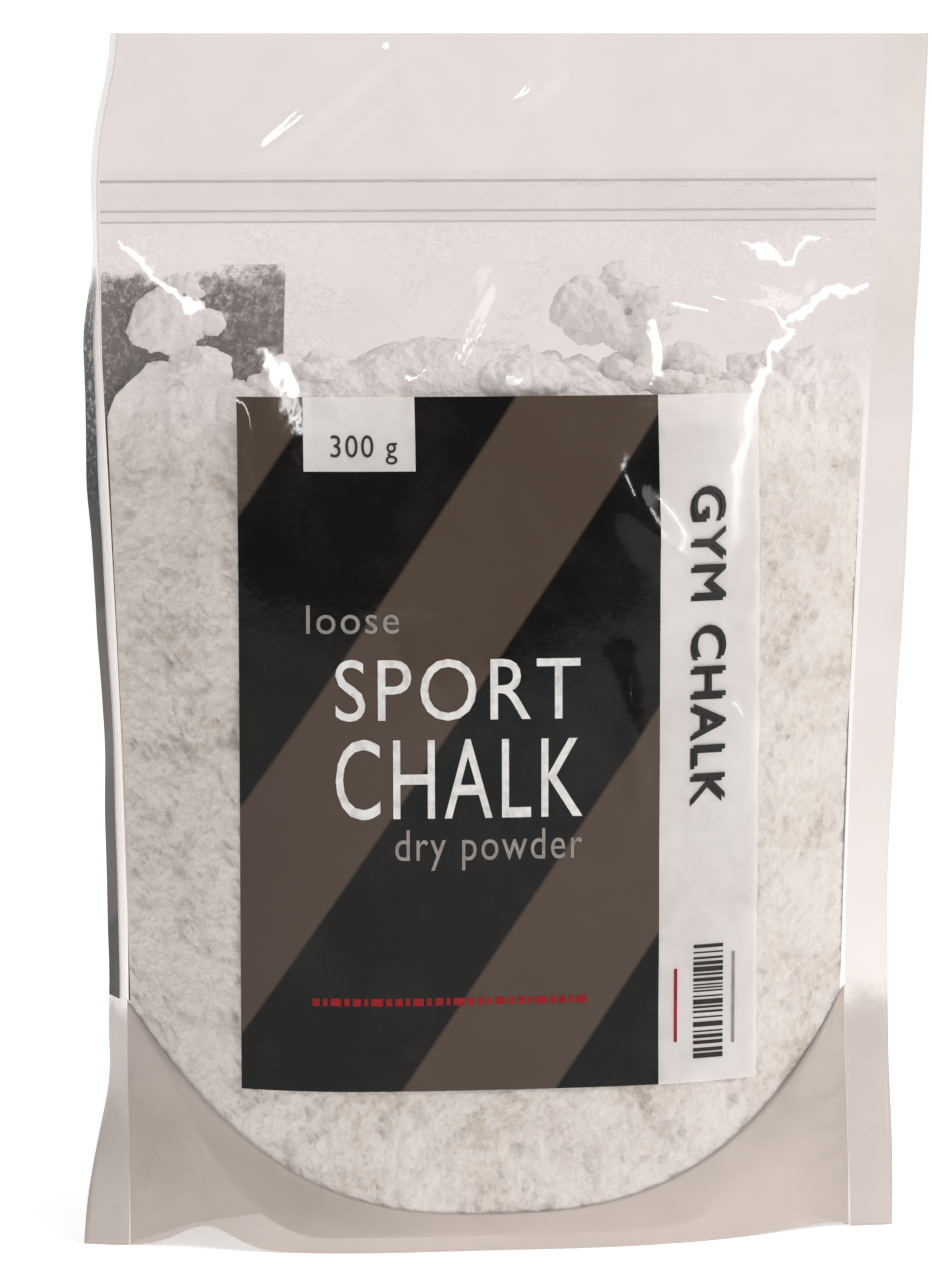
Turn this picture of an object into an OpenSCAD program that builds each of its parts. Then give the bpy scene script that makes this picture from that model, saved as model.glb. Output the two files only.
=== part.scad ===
// Resealable stand-up pouch of loose climbing and gymnastics chalk.
// Millimetres, +Z up, the pouch's front faces -Y. The origin is under the middle of the
// pouch, on the surface that it stands on.

/* [Pouch] */
// Flat width of the pouch, over both side seals
pouch_w = 187; // [140:1:240]
// Height of the standing pouch
pouch_h = 260; // [210:1:320]
// Depth of the filled pouch at its fullest
pouch_d = 46; // [34:1:64]
// Width of each heat-sealed side band
seal_w = 9.5; // [7:0.5:16]
// Thickness of one film
film_t = 0.3; // [0.2:0.05:0.5]
// Height above the base at which the pouch is fullest
belly_z = 20; // [12:1:40]
// How much shallower the foot is than the belly, on each side
foot_tuck = 1.8; // [0:0.1:4]
// Fullness of the cross-section, from 2 for a lens to 4 for a slab
section_power = 3.2; // [2:0.1:4]
// Fullness of the side view, from 3 for an even taper to 7 for a late one
taper_power = 6; // [3:0.1:7]
// Share of its width that the film loses as it bulges
chord_loss = 0.35; // [0.2:0.05:1]
// How much the gusset draws in each side of the chamber's lower part
foot_pull = 3; // [0:0.5:7]
// Height up to which the sides are fully drawn in
pull_z = 60; // [40:1:80]
// How far the mouth is out of line with the origin, to the left
mouth_drift = 3; // [0:0.5:5]
// How much further the filled chamber has slumped to the left
side_slump = 0.5; // [0:0.5:4]
// Angle that the left seal is folded back by at the header
head_lean = 86; // [0:1:87]
// Angle that the left seal is folded back by, between the belly and the mouth
seal_lean = 70; // [0:1:80]
// Angle that the left seal is folded back by at its foot
foot_lean = 15; // [0:1:70]

/* [Bottom gusset] */
// Height of the gusset's weld at the middle
weld_z = 8.5; // [5:0.5:14]
// How much higher the weld runs at the side seals
weld_rise = 44; // [25:1:55]
// Share of the half width over which the gusset lies flat on the ground
gusset_flat = 0.45; // [0.2:0.05:0.6]
// Gap between the gusset and the panel that it is welded to
weld_gap = 0.3; // [0.2:0.05:0.5]

/* [Mouth and zipper] */
// Height of the film above the zipper
header_h = 29; // [16:1:45]
// Height of the zipper strips
zip_h = 11; // [8:0.5:16]
// Height of the film that bends with the lips, below the zipper
lip_foot_h = 30; // [20:1:36]
// Gap between the two zipper strips when they are pressed shut
zip_gap = 1.5; // [1.2:0.1:2.4]
// Thickness of a zipper strip's flange
flange_t = 0.25; // [0.2:0.05:0.4]
// Thickness of the rib
rib_t = 1; // [0.8:0.1:1.4]
// Clearance between the rib and each jaw
rib_clear = 0.3; // [0.25:0.05:0.4]
// Thickness of each jaw of the groove
jaw_t = 0.5; // [0.4:0.1:0.8]
// How far the rib and the jaws stop short of the opposite strip
rib_short = 0.3; // [0.2:0.05:0.4]
// Gap between the lips and what they bend from
fold_gap = 0.5; // [0.3:0.1:0.8]
// Gap between the ends of the lips and the side seals
lip_side_gap = 0.6; // [0.4:0.1:1]

/* [Labels] */
// Thickness of a label
label_t = 0.15; // [0.1:0.05:0.3]
// Thickness of the adhesive between a label and the film
glue_t = 0.05; // [0.05:0.01:0.1]
// Distance from the chamber's left side, laid flat, to the front label
label_left = 25.5; // [12:0.5:32]
// Distance from the chamber's right side, laid flat, to the front label
label_right = 31; // [14:0.5:34]
// Height of the front label's lower edge
label_z = 36; // [28:1:50]
// Distance from the fold of the lips down to the front label's top
label_drop = 6; // [2:0.5:20]
// Width of the back label
back_label_w = 34; // [20:1:60]
// Height of the back label's lower edge
back_label_z = 52; // [40:1:80]

/* [Chalk] */
// Distance from the fold of the lips down to the top of the powder
fill_drop = 10; // [6:1:40]
// Gap between the chalk and the film
chalk_gap = 0.5; // [0.4:0.1:1]
// Height of the lumps that lie along the top of the powder
row_h = 13; // [8:1:16]
// Gap between neighbouring lumps
lump_gap = 0.8; // [0.5:0.1:2]
// Width of the big lump at the left
left_lump_w = 18; // [12:1:24]
// Height of the big lump at the left
left_lump_h = 14; // [10:1:16]
// Distance of the big lump from the left seal
left_lump_in = 7; // [4:0.5:12]
// Width of the rough lump at the right
right_lump_w = 19; // [12:1:24]
// Height of the rough lump at the right
right_lump_h = 15; // [10:1:16]
// Distance of the rough lump from the pouch's middle
right_lump_x = 27; // [20:1:32]
// How far a loose lump can be shaken up
lump_lift = 3; // [1:0.5:5]
// Width of a crumb
crumb_w = 4; // [2:0.5:5]

/* [Hidden] */

chamber_half = pouch_w / 2 - seal_w;
belly_half = pouch_d / 2;
zip_z = pouch_h - header_h - zip_h;
fold_z = zip_z - lip_foot_h;
panel_top = fold_z - fold_gap / 2;
lip_base = fold_z + fold_gap / 2;
closed_half = zip_gap / 2 + flange_t + film_t;
label_x0 = label_left - chamber_half;
label_x1 = chamber_half - label_right;
label_top = fold_z - label_drop;
back_label_top = panel_top;
back_label_side = 1.5;
fill_z = fold_z - fill_drop;
row_count = 6;
row_margin = 8;
gusset_end = 0.94;

// Widest column of a film's grid: it keeps the facets of neighbouring films apart
column_w = 6;
gusset_steps = 2 * ceil(chamber_half * gusset_end / column_w);
side_steps = ceil(max(label_left, label_right) / column_w);
label_steps = ceil((label_x1 - label_x0) / column_w);
back_label_steps = ceil(back_label_w / column_w);
back_steps = ceil((2 * chamber_half - back_label_w) / column_w);
lip_steps = 16;

film_tint = [0.9, 0.88, 0.86, 0.45];
label_tint = [0.17, 0.13, 0.11];
chalk_tint = [0.95, 0.94, 0.92];

// Smooth step from 0 to 1
function ease(t) = let (c = max(0, min(1, t))) c * c * (3 - 2 * c);
// Points from a to b, both included
function span(a, b, steps) = [for (k = [0 : steps]) a + (b - a) * k / steps];
// The same, without the first, so that spans can follow each other
function more(a, b, steps) = [for (k = [1 : steps]) a + (b - a) * k / steps];

// Outer half depth of the pouch at its middle, at height z
function half_depth(z) =
    z < belly_z
    ? belly_half - foot_tuck * pow(1 - z / belly_z, 2)
    : z < zip_z
    ? closed_half + (belly_half - closed_half) * (1 - pow((z - belly_z) / (zip_z - belly_z), taper_power))
    : closed_half;

// Half width of the chamber at height z: a film that bulges draws its sides in, and so does the gusset
function half_chord(z) =
    chamber_half * (1 - chord_loss * pow(half_depth(z) / chamber_half, 2))
    - foot_pull * (1 - ease((z - pull_z) / (fold_z - pull_z)));
function drift(z) = -mouth_drift - side_slump * (1 - ease(1.5 * (z - fold_z) / lip_foot_h));
function left_in(z) = drift(z) - half_chord(z);
function right_in(z) = drift(z) + half_chord(z);

// Half depth of the chamber's inner face at (x, z), 0 at the side seals
function bulge(x, z) =
    (half_depth(z) - film_t) * (1 - pow(min(1, abs(x - drift(z)) / half_chord(z)), section_power));

// The same for the lips, which go from the chamber's section at their foot to flat at the zipper
function lip_bulge(x, z) =
    let (flat = pow(max(0, min(1, (z - lip_base) / (zip_z - lip_base))), 3))
    (1 - flat) * bulge(x, z) + flat * (closed_half - film_t);

// The left seal is folded back, less so at its foot and more at the header
function lean(z) =
    foot_lean
    + (seal_lean - foot_lean) * ease(z / (2 * belly_z))
    + (head_lean - seal_lean) * ease((z - fold_z) / lip_foot_h);

// Height of the gusset's weld at share u of the half width
function weld_at(u) = weld_z + weld_rise * pow(abs(u), 2.6);
function floor_low(u) = (weld_at(u) - 1) * ease((abs(u) - gusset_flat) / (1 - gusset_flat));
// Height of the gusset's under side at share u of the half width and v of the half depth
function floor_at(u, v) =
    let (climb = max(0, (abs(v) - 0.35) / 0.65))
    floor_low(u) + (weld_at(u) - floor_low(u)) * pow(climb, 1.8);

// Two triangles between four points of a grid that is w points wide
function quad(a, b, c, d) = [[a, b, c], [a, c, d]];

// A thin solid between two grids of points: over[i][j] and under[i][j]
module skin(over, under) {
    cols = len(over);
    rows = len(over[0]);
    base = cols * rows;
    function at(i, j) = i * rows + j;
    points = concat([for (c = over) for (p = c) p], [for (c = under) for (p = c) p]);
    faces = [
        for (i = [0 : cols - 2]) for (j = [0 : rows - 2])
            each concat(
                quad(at(i, j), at(i, j + 1), at(i + 1, j + 1), at(i + 1, j)),
                quad(base + at(i, j), base + at(i + 1, j), base + at(i + 1, j + 1), base + at(i, j + 1))),
        for (i = [0 : cols - 2])
            each concat(
                quad(at(i, 0), at(i + 1, 0), base + at(i + 1, 0), base + at(i, 0)),
                quad(at(i + 1, rows - 1), at(i, rows - 1), base + at(i, rows - 1), base + at(i + 1, rows - 1))),
        for (j = [0 : rows - 2])
            each concat(
                quad(at(0, j + 1), at(0, j), base + at(0, j), base + at(0, j + 1)),
                quad(at(cols - 1, j), at(cols - 1, j + 1), base + at(cols - 1, j + 1), base + at(cols - 1, j)))
    ];
    polyhedron(points = points, faces = faces);
}

// A solid lofted through closed loops of points, each end closed about its middle
module loft(loops) {
    n = len(loops[0]);
    last = len(loops) - 1;
    middle = function(loop) [for (k = [0 : 2]) let (s = [for (p = loop) p[k]]) s * [for (p = loop) 1] / n];
    points = concat([for (l = loops) for (p = l) p], [middle(loops[0]), middle(loops[last])]);
    first_mid = len(points) - 2;
    faces = [
        for (i = [0 : last - 1]) for (j = [0 : n - 1])
            let (k = (j + 1) % n)
            each quad(i * n + j, (i + 1) * n + j, (i + 1) * n + k, i * n + k),
        for (j = [0 : n - 1]) [first_mid, j, (j + 1) % n],
        for (j = [0 : n - 1]) [first_mid + 1, last * n + (j + 1) % n, last * n + j]
    ];
    polyhedron(points = points, faces = faces);
}

// A rough rounded block that fills a box of the given size about the origin
module chunk(size, seed) {
    turns = 9;
    bands = 5;
    rough = rands(0.8, 1, turns * bands, seed);
    function square_off(t) = sign(t) * pow(abs(t), 0.75);
    ring_points = [
        for (b = [1 : bands - 1]) for (k = [0 : turns - 1])
            let (
                polar = 180 * b / bands,
                around = 360 * k / turns + 17 * seed,
                r = rough[b * turns + k] / 2
            )
            [
                size[0] * r * square_off(sin(polar)) * square_off(cos(around)),
                size[1] * r * square_off(sin(polar)) * square_off(sin(around)),
                -size[2] * r * square_off(cos(polar))
            ]
    ];
    points = concat([[0, 0, -size[2] / 2]], ring_points, [[0, 0, size[2] / 2]]);
    top = len(points) - 1;
    function at(b, k) = 1 + b * turns + k % turns;
    faces = [
        for (k = [0 : turns - 1]) [0, at(0, k), at(0, k + 1)],
        for (b = [0 : bands - 3]) for (k = [0 : turns - 1])
            each quad(at(b, k), at(b + 1, k), at(b + 1, k + 1), at(b, k + 1)),
        for (k = [0 : turns - 1]) [top, at(bands - 2, k + 1), at(bands - 2, k)]
    ];
    polyhedron(points = points, faces = faces);
}

// Columns of the front film at height z, with two of them on the label's sides
function front_columns(z) =
    concat(
        span(left_in(z), label_x0, side_steps),
        more(label_x0, label_x1, label_steps),
        more(label_x1, right_in(z), side_steps));
front_rows = concat(span(0, label_z, 4), more(label_z, label_top, 10), more(label_top, panel_top, 1));

// Columns of the back film at height z, with the label's sides among them
function back_columns(z) =
    concat(
        [left_in(z)],
        span(left_in(z) + back_label_side, left_in(z) + back_label_side + back_label_w, back_label_steps),
        more(left_in(z) + back_label_side + back_label_w, right_in(z), back_steps));
back_rows = concat(span(0, back_label_z, 5), more(back_label_z, back_label_top, 9));

lip_rows = concat(span(lip_base, zip_z, 5), [pouch_h]);

// A grid on a face of the chamber, out beyond its inner face by the given amount
function film_grid(side, out, rows, columns, first, last) = [
    for (i = [first : last]) [
        for (z = rows)
            let (x = columns(z)[i])
            [x, side * (bulge(x, z) + out), z]
    ]
];

module film(side, rows, columns) {
    last = len(columns(0)) - 1;
    near = film_grid(side, 0, rows, columns, 0, last);
    far = film_grid(side, film_t, rows, columns, 0, last);
    if (side < 0) skin(far, near); else skin(near, far);
}

module sticker(side, rows, columns, first, last) {
    near = film_grid(side, film_t + glue_t, rows, columns, first, last);
    far = film_grid(side, film_t + glue_t + label_t, rows, columns, first, last);
    if (side < 0) skin(far, near); else skin(near, far);
}

module front_panel() {
    color(film_tint) film(-1, front_rows, function(z) front_columns(z));
}

module back_panel() {
    color(film_tint) film(1, back_rows, function(z) back_columns(z));
}

module front_label() {
    rows = [for (z = front_rows) if (z >= label_z - 0.01 && z <= label_top + 0.01) z];
    color(label_tint) sticker(-1, rows, function(z) front_columns(z), side_steps, side_steps + label_steps);
}

module back_label() {
    rows = [for (z = back_rows) if (z >= back_label_z - 0.01) z];
    color(label_tint) sticker(1, rows, function(z) back_columns(z), 1, 1 + back_label_steps);
}

// The film that bends outwards at the mouth: it bulges up to the zipper and is flat above
function lip_columns(z) =
    let (half = half_chord(z) - lip_side_gap)
    span(drift(z) - half, drift(z) + half, lip_steps);
function lip_grid(side, out) = [
    for (i = [0 : lip_steps]) [
        for (z = lip_rows)
            let (x = lip_columns(z)[i])
            [x, side * (lip_bulge(x, z) + out), z]
    ]
];

module lip(side) {
    near = lip_grid(side, 0);
    far = lip_grid(side, film_t);
    if (side < 0) skin(far, near); else skin(near, far);
}

module front_lip() {
    color(film_tint) lip(-1);
}

module back_lip() {
    color(film_tint) lip(1);
}

zip_half = half_chord(zip_z) - lip_side_gap;
rib_mid = zip_z + zip_h / 2 - 1;
rib_reach = zip_gap - rib_short;

// A strip of constant section across the mouth; its outline is drawn in Y and Z
module strip_along_x(length) {
    translate([drift(zip_z), 0, 0])
        rotate([90, 0, 90]) linear_extrude(height = length, center = true) children();
}

// Flange welded to the front lip, with the two jaws that grip the rib
module groove_strip() {
    jaw_z = rib_t / 2 + rib_clear;
    color([0.86, 0.86, 0.85]) strip_along_x(2 * zip_half) {
        translate([-zip_gap / 2 - flange_t, zip_z]) square([flange_t, zip_h]);
        for (z = [rib_mid - jaw_z - jaw_t, rib_mid + jaw_z])
            translate([-zip_gap / 2 - flange_t, z]) square([flange_t + rib_reach, jaw_t]);
    }
}

// Flange welded to the back lip, with the rib that presses into the groove
module rib_strip() {
    color([0.86, 0.86, 0.85]) strip_along_x(2 * zip_half) {
        translate([zip_gap / 2, zip_z]) square([flange_t, zip_h]);
        translate([zip_gap / 2 - rib_reach + rib_t / 2, rib_mid - rib_t / 2])
            square([rib_reach - rib_t / 2 + flange_t, rib_t]);
        translate([zip_gap / 2 - rib_reach + rib_t / 2, rib_mid]) circle(d = rib_t, $fn = 24);
    }
}

seal_rows = concat(span(0, fold_z, 12), more(fold_z, zip_z, 5), more(zip_z, pouch_h, 2));

// Both films and the gusset's corners, welded into one band
module side_seal(side) {
    function edge(z) = side < 0 ? left_in(z) - glue_t : right_in(z) + glue_t;
    function turn(z) = side < 0 ? lean(z) : 0;
    function grid(out) = [
        [for (z = seal_rows) [edge(z), out, z]],
        [for (z = seal_rows) [
            edge(z) + side * (seal_w * cos(turn(z))) + out * sin(turn(z)) * (side < 0 ? 1 : 0),
            seal_w * sin(turn(z)) + out * cos(turn(z)),
            z
        ]]
    ];
    if (side < 0) skin(grid(film_t), grid(-film_t)); else skin(grid(-film_t), grid(film_t));
}

module left_side_seal() {
    color(film_tint) side_seal(-1);
}

module right_side_seal() {
    color(film_tint) side_seal(1);
}

gusset_shares = span(-gusset_end, gusset_end, gusset_steps);
floor_shares = [-0.85, -0.65, -0.35, 0, 0.35, 0.65, 0.85];

// The gusset's middle line at share u of the half width: up the front weld, across, down the back
function gusset_path(u) =
    let (
        x = drift(0) + u * half_chord(0),
        weld = weld_at(u),
        flap = function(z) max(0.8, bulge(x, z) - weld_gap - film_t / 2),
        reach = flap(weld)
    )
    concat(
        [for (z = span(0, weld, 3)) [x, -flap(z), z]],
        [for (v = floor_shares) [x, v * reach, floor_at(u, v) + film_t / 2]],
        [for (z = span(weld, 0, 3)) [x, flap(z), z]]);

// Unit normal of a path in Y and Z at its point k
function path_normal(path, k) =
    let (
        a = path[max(0, k - 1)],
        b = path[min(len(path) - 1, k + 1)],
        d = [b[1] - a[1], b[2] - a[2]],
        length = norm(d)
    )
    k == 0 || k == len(path) - 1 ? [0, -sign(d[1]), 0] : [0, -d[1] / length, d[0] / length];

module bottom_gusset() {
    paths = [for (u = gusset_shares) gusset_path(u)];
    function grid(out) = [
        for (p = paths) [for (k = [0 : len(p) - 1]) p[k] + path_normal(p, k) * out]
    ];
    color(film_tint) skin(grid(film_t / 2), grid(-film_t / 2));
}

// Outline of the powder across the pouch at share u of the half width
function powder_loop(u) =
    let (
        x0 = drift(0) + u * half_chord(0),
        weld = weld_at(u) + 2 * chalk_gap,
        wall = function(z) max(0.6, bulge(x0, z) - chalk_gap),
        reach = wall(weld),
        lift = film_t + chalk_gap,
        rise = span(weld, fill_z, 7)
    )
    concat(
        [for (v = floor_shares) [x0, v * reach, floor_at(u, v) + lift]],
        [for (z = rise) [x0, wall(z), z]],
        [for (v = [0.5, 0, -0.5]) [x0, v * wall(fill_z), fill_z]],
        [for (k = [len(rise) - 1 : -1 : 0]) [x0, -wall(rise[k]), rise[k]]]);

module chalk_powder() {
    color(chalk_tint) loft([for (i = [1 : gusset_steps - 1]) powder_loop(gusset_shares[i])]);
}

// Half depth that a lump may have where it lies, shaken up or not
function room(x, w, z) = lip_bulge(x + sign(x) * w / 4, z) - chalk_gap;

row_pitch = 2 * (half_chord(fill_z) - row_margin) / row_count;
function row_x(k) = drift(fill_z) + (k - (row_count - 1) / 2) * row_pitch;

left_lump_x = left_in(fold_z) + left_lump_in + left_lump_w / 2;
upper_z = fill_z + row_h + lump_gap;

// A lump's height is its own; its depth is what the film leaves it
module lump(x, z, w, h, seed) {
    deep = room(x, w, z + 0.8 * h + lump_lift);
    translate([x, 0, z + h / 2]) chunk([w, 2 * deep, h], seed);
}

module left_lump() {
    color(chalk_tint) lump(left_lump_x, upper_z, left_lump_w, left_lump_h, 3);
}

module right_lump() {
    color(chalk_tint) lump(right_lump_x, upper_z, right_lump_w, right_lump_h, 5);
}

module row_lump(k) {
    tall = row_h * (k % 2 == 0 ? 1 : 0.85);
    color(chalk_tint) lump(row_x(k), fill_z + lump_gap / 2, row_pitch - lump_gap, tall, 10 + k);
}

// Two crumbs lie between each lump of the row and the next, by the front film and by the back
module crumbs() {
    color(chalk_tint) for (k = [0 : row_count - 2]) for (side = [-1, 1]) {
        x = row_x(k) + row_pitch / 2;
        y = bulge(x, fill_z + crumb_w) - chalk_gap - crumb_w / 2;
        translate([x, side * y, fill_z + crumb_w / 2 + chalk_gap])
            chunk([crumb_w, crumb_w, crumb_w], 30 + 2 * k + side);
    }
}

front_panel();
back_panel();
bottom_gusset();
left_side_seal();
right_side_seal();
front_lip();
back_lip();
groove_strip();
rib_strip();
front_label();
back_label();
chalk_powder();
left_lump();
right_lump();
row_lump(0);  // row_lump_1
row_lump(1);  // row_lump_2
row_lump(2);  // row_lump_3
row_lump(3);  // row_lump_4
row_lump(4);  // row_lump_5
row_lump(5);  // row_lump_6
crumbs();
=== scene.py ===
"""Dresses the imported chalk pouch: clear film, zipper, labels, and the chalk behind them.

Lengths are in metres, in the part's own frame: +Z is up and the labelled front faces -Y.
"""

import logging
import math
from dataclasses import dataclass, field
from enum import Enum

import bmesh
import bpy
import numpy as np
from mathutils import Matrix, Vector


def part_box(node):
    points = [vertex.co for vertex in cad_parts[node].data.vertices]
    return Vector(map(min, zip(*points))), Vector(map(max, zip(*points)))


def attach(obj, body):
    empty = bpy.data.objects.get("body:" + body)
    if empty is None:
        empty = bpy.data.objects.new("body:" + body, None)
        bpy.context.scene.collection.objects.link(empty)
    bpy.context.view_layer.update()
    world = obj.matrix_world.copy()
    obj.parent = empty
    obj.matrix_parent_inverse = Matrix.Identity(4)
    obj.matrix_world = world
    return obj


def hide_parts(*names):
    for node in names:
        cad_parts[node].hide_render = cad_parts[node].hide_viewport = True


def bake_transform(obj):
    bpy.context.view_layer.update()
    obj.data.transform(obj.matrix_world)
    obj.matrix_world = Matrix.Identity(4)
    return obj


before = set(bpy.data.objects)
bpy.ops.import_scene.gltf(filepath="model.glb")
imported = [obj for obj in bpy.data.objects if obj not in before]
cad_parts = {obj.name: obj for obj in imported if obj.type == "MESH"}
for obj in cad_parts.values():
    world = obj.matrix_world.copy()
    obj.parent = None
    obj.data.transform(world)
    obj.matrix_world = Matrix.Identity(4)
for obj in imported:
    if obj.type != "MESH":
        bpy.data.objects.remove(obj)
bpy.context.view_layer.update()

LOG = logging.getLogger("chalk_pouch")
MM = 0.001

Array = np.ndarray
Faces = list[tuple[int, ...]]
Pair = tuple[float, float]
Triple = tuple[float, float, float]
Socket = bpy.types.NodeSocket
Material = bpy.types.Material
Piece = bpy.types.Object


class Side(Enum):
    """Which of the two films a piece belongs to; the value is its direction along Y."""

    FRONT = -1
    BACK = 1


class Half(Enum):
    """Which half of the mouth a piece covers; the value is its direction along X."""

    LEFT = -1
    RIGHT = 1


def ease(t: Array) -> Array:
    """Smooth step from 0 to 1 of an array or a number."""
    c = np.clip(t, 0.0, 1.0)
    return c * c * (3 - 2 * c)


def corners(node: str) -> tuple[Array, Array]:
    """Lowest and highest corners of a CAD node at rest."""
    low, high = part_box(node)
    return np.array(low), np.array(high)


class Noise:
    """Smooth value noise on a seeded lattice, the same on every run."""

    SIZE = 32

    def __init__(self, seed: int) -> None:
        """Fills the lattice.

        Args:
            seed: Seed of the random numbers.
        """
        self.lattice = np.random.default_rng(seed).random((self.SIZE,) * 3) * 2 - 1

    def at(self, points: Array, scale: float) -> Array:
        """Noise from -1 to 1 at each point.

        Args:
            points: Array whose last axis is x, y, z in metres.
            scale: Size of one lattice cell in metres.

        Returns:
            One value for each point.
        """
        p = np.asarray(points, float) / scale + 7.3
        cell = np.floor(p).astype(int)
        f = p - cell
        f = f * f * (3 - 2 * f)
        total = np.zeros(p.shape[:-1])
        for dx in (0, 1):
            for dy in (0, 1):
                for dz in (0, 1):
                    weight = (
                        (f[..., 0] if dx else 1 - f[..., 0])
                        * (f[..., 1] if dy else 1 - f[..., 1])
                        * (f[..., 2] if dz else 1 - f[..., 2])
                    )
                    corner = self.lattice[
                        (cell[..., 0] + dx) % self.SIZE,
                        (cell[..., 1] + dy) % self.SIZE,
                        (cell[..., 2] + dz) % self.SIZE,
                    ]
                    total += weight * corner
        return total

    def layered(self, points: Array, scale: float, layers: int = 3) -> Array:
        """Sum of finer and fainter layers of noise.

        Args:
            points: Array whose last axis is x, y, z in metres.
            scale: Cell size of the coarsest layer, in metres.
            layers: How many layers there are.

        Returns:
            One value for each point, mostly from -1 to 1.
        """
        total = np.zeros(np.asarray(points).shape[:-1])
        for k in range(layers):
            total += self.at(points, scale / 2**k) / 2**k
        return total / 1.6


@dataclass(frozen=True)
class Fold:
    """A crease in the film, raised along a line in the plane of the front."""

    x0: float
    z0: float
    x1: float
    z1: float
    width: float
    height: float

    @classmethod
    def line(cls, start: Pair, end: Pair, width: float, height: float) -> "Fold":
        """A fold from one x and z to another, with every length in millimetres."""
        return cls(*(length * MM for length in (*start, *end, width, height)))

    def lift(self, x: Array, z: Array) -> Array:
        """Outward offset of the film at each point.

        Args:
            x: Places across the pouch.
            z: Heights, in an array of the same shape.

        Returns:
            One offset for each point.
        """
        dx, dz = self.x1 - self.x0, self.z1 - self.z0
        along = ((x - self.x0) * dx + (z - self.z0) * dz) / (dx * dx + dz * dz)
        near = np.clip(along, 0.0, 1.0)
        gap = np.hypot(x - self.x0 - near * dx, z - self.z0 - near * dz)
        fade = np.sin(np.pi * np.clip(0.12 + 0.76 * near, 0.0, 1.0))
        return self.height * fade * np.exp(-((gap / self.width) ** 2))


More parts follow.
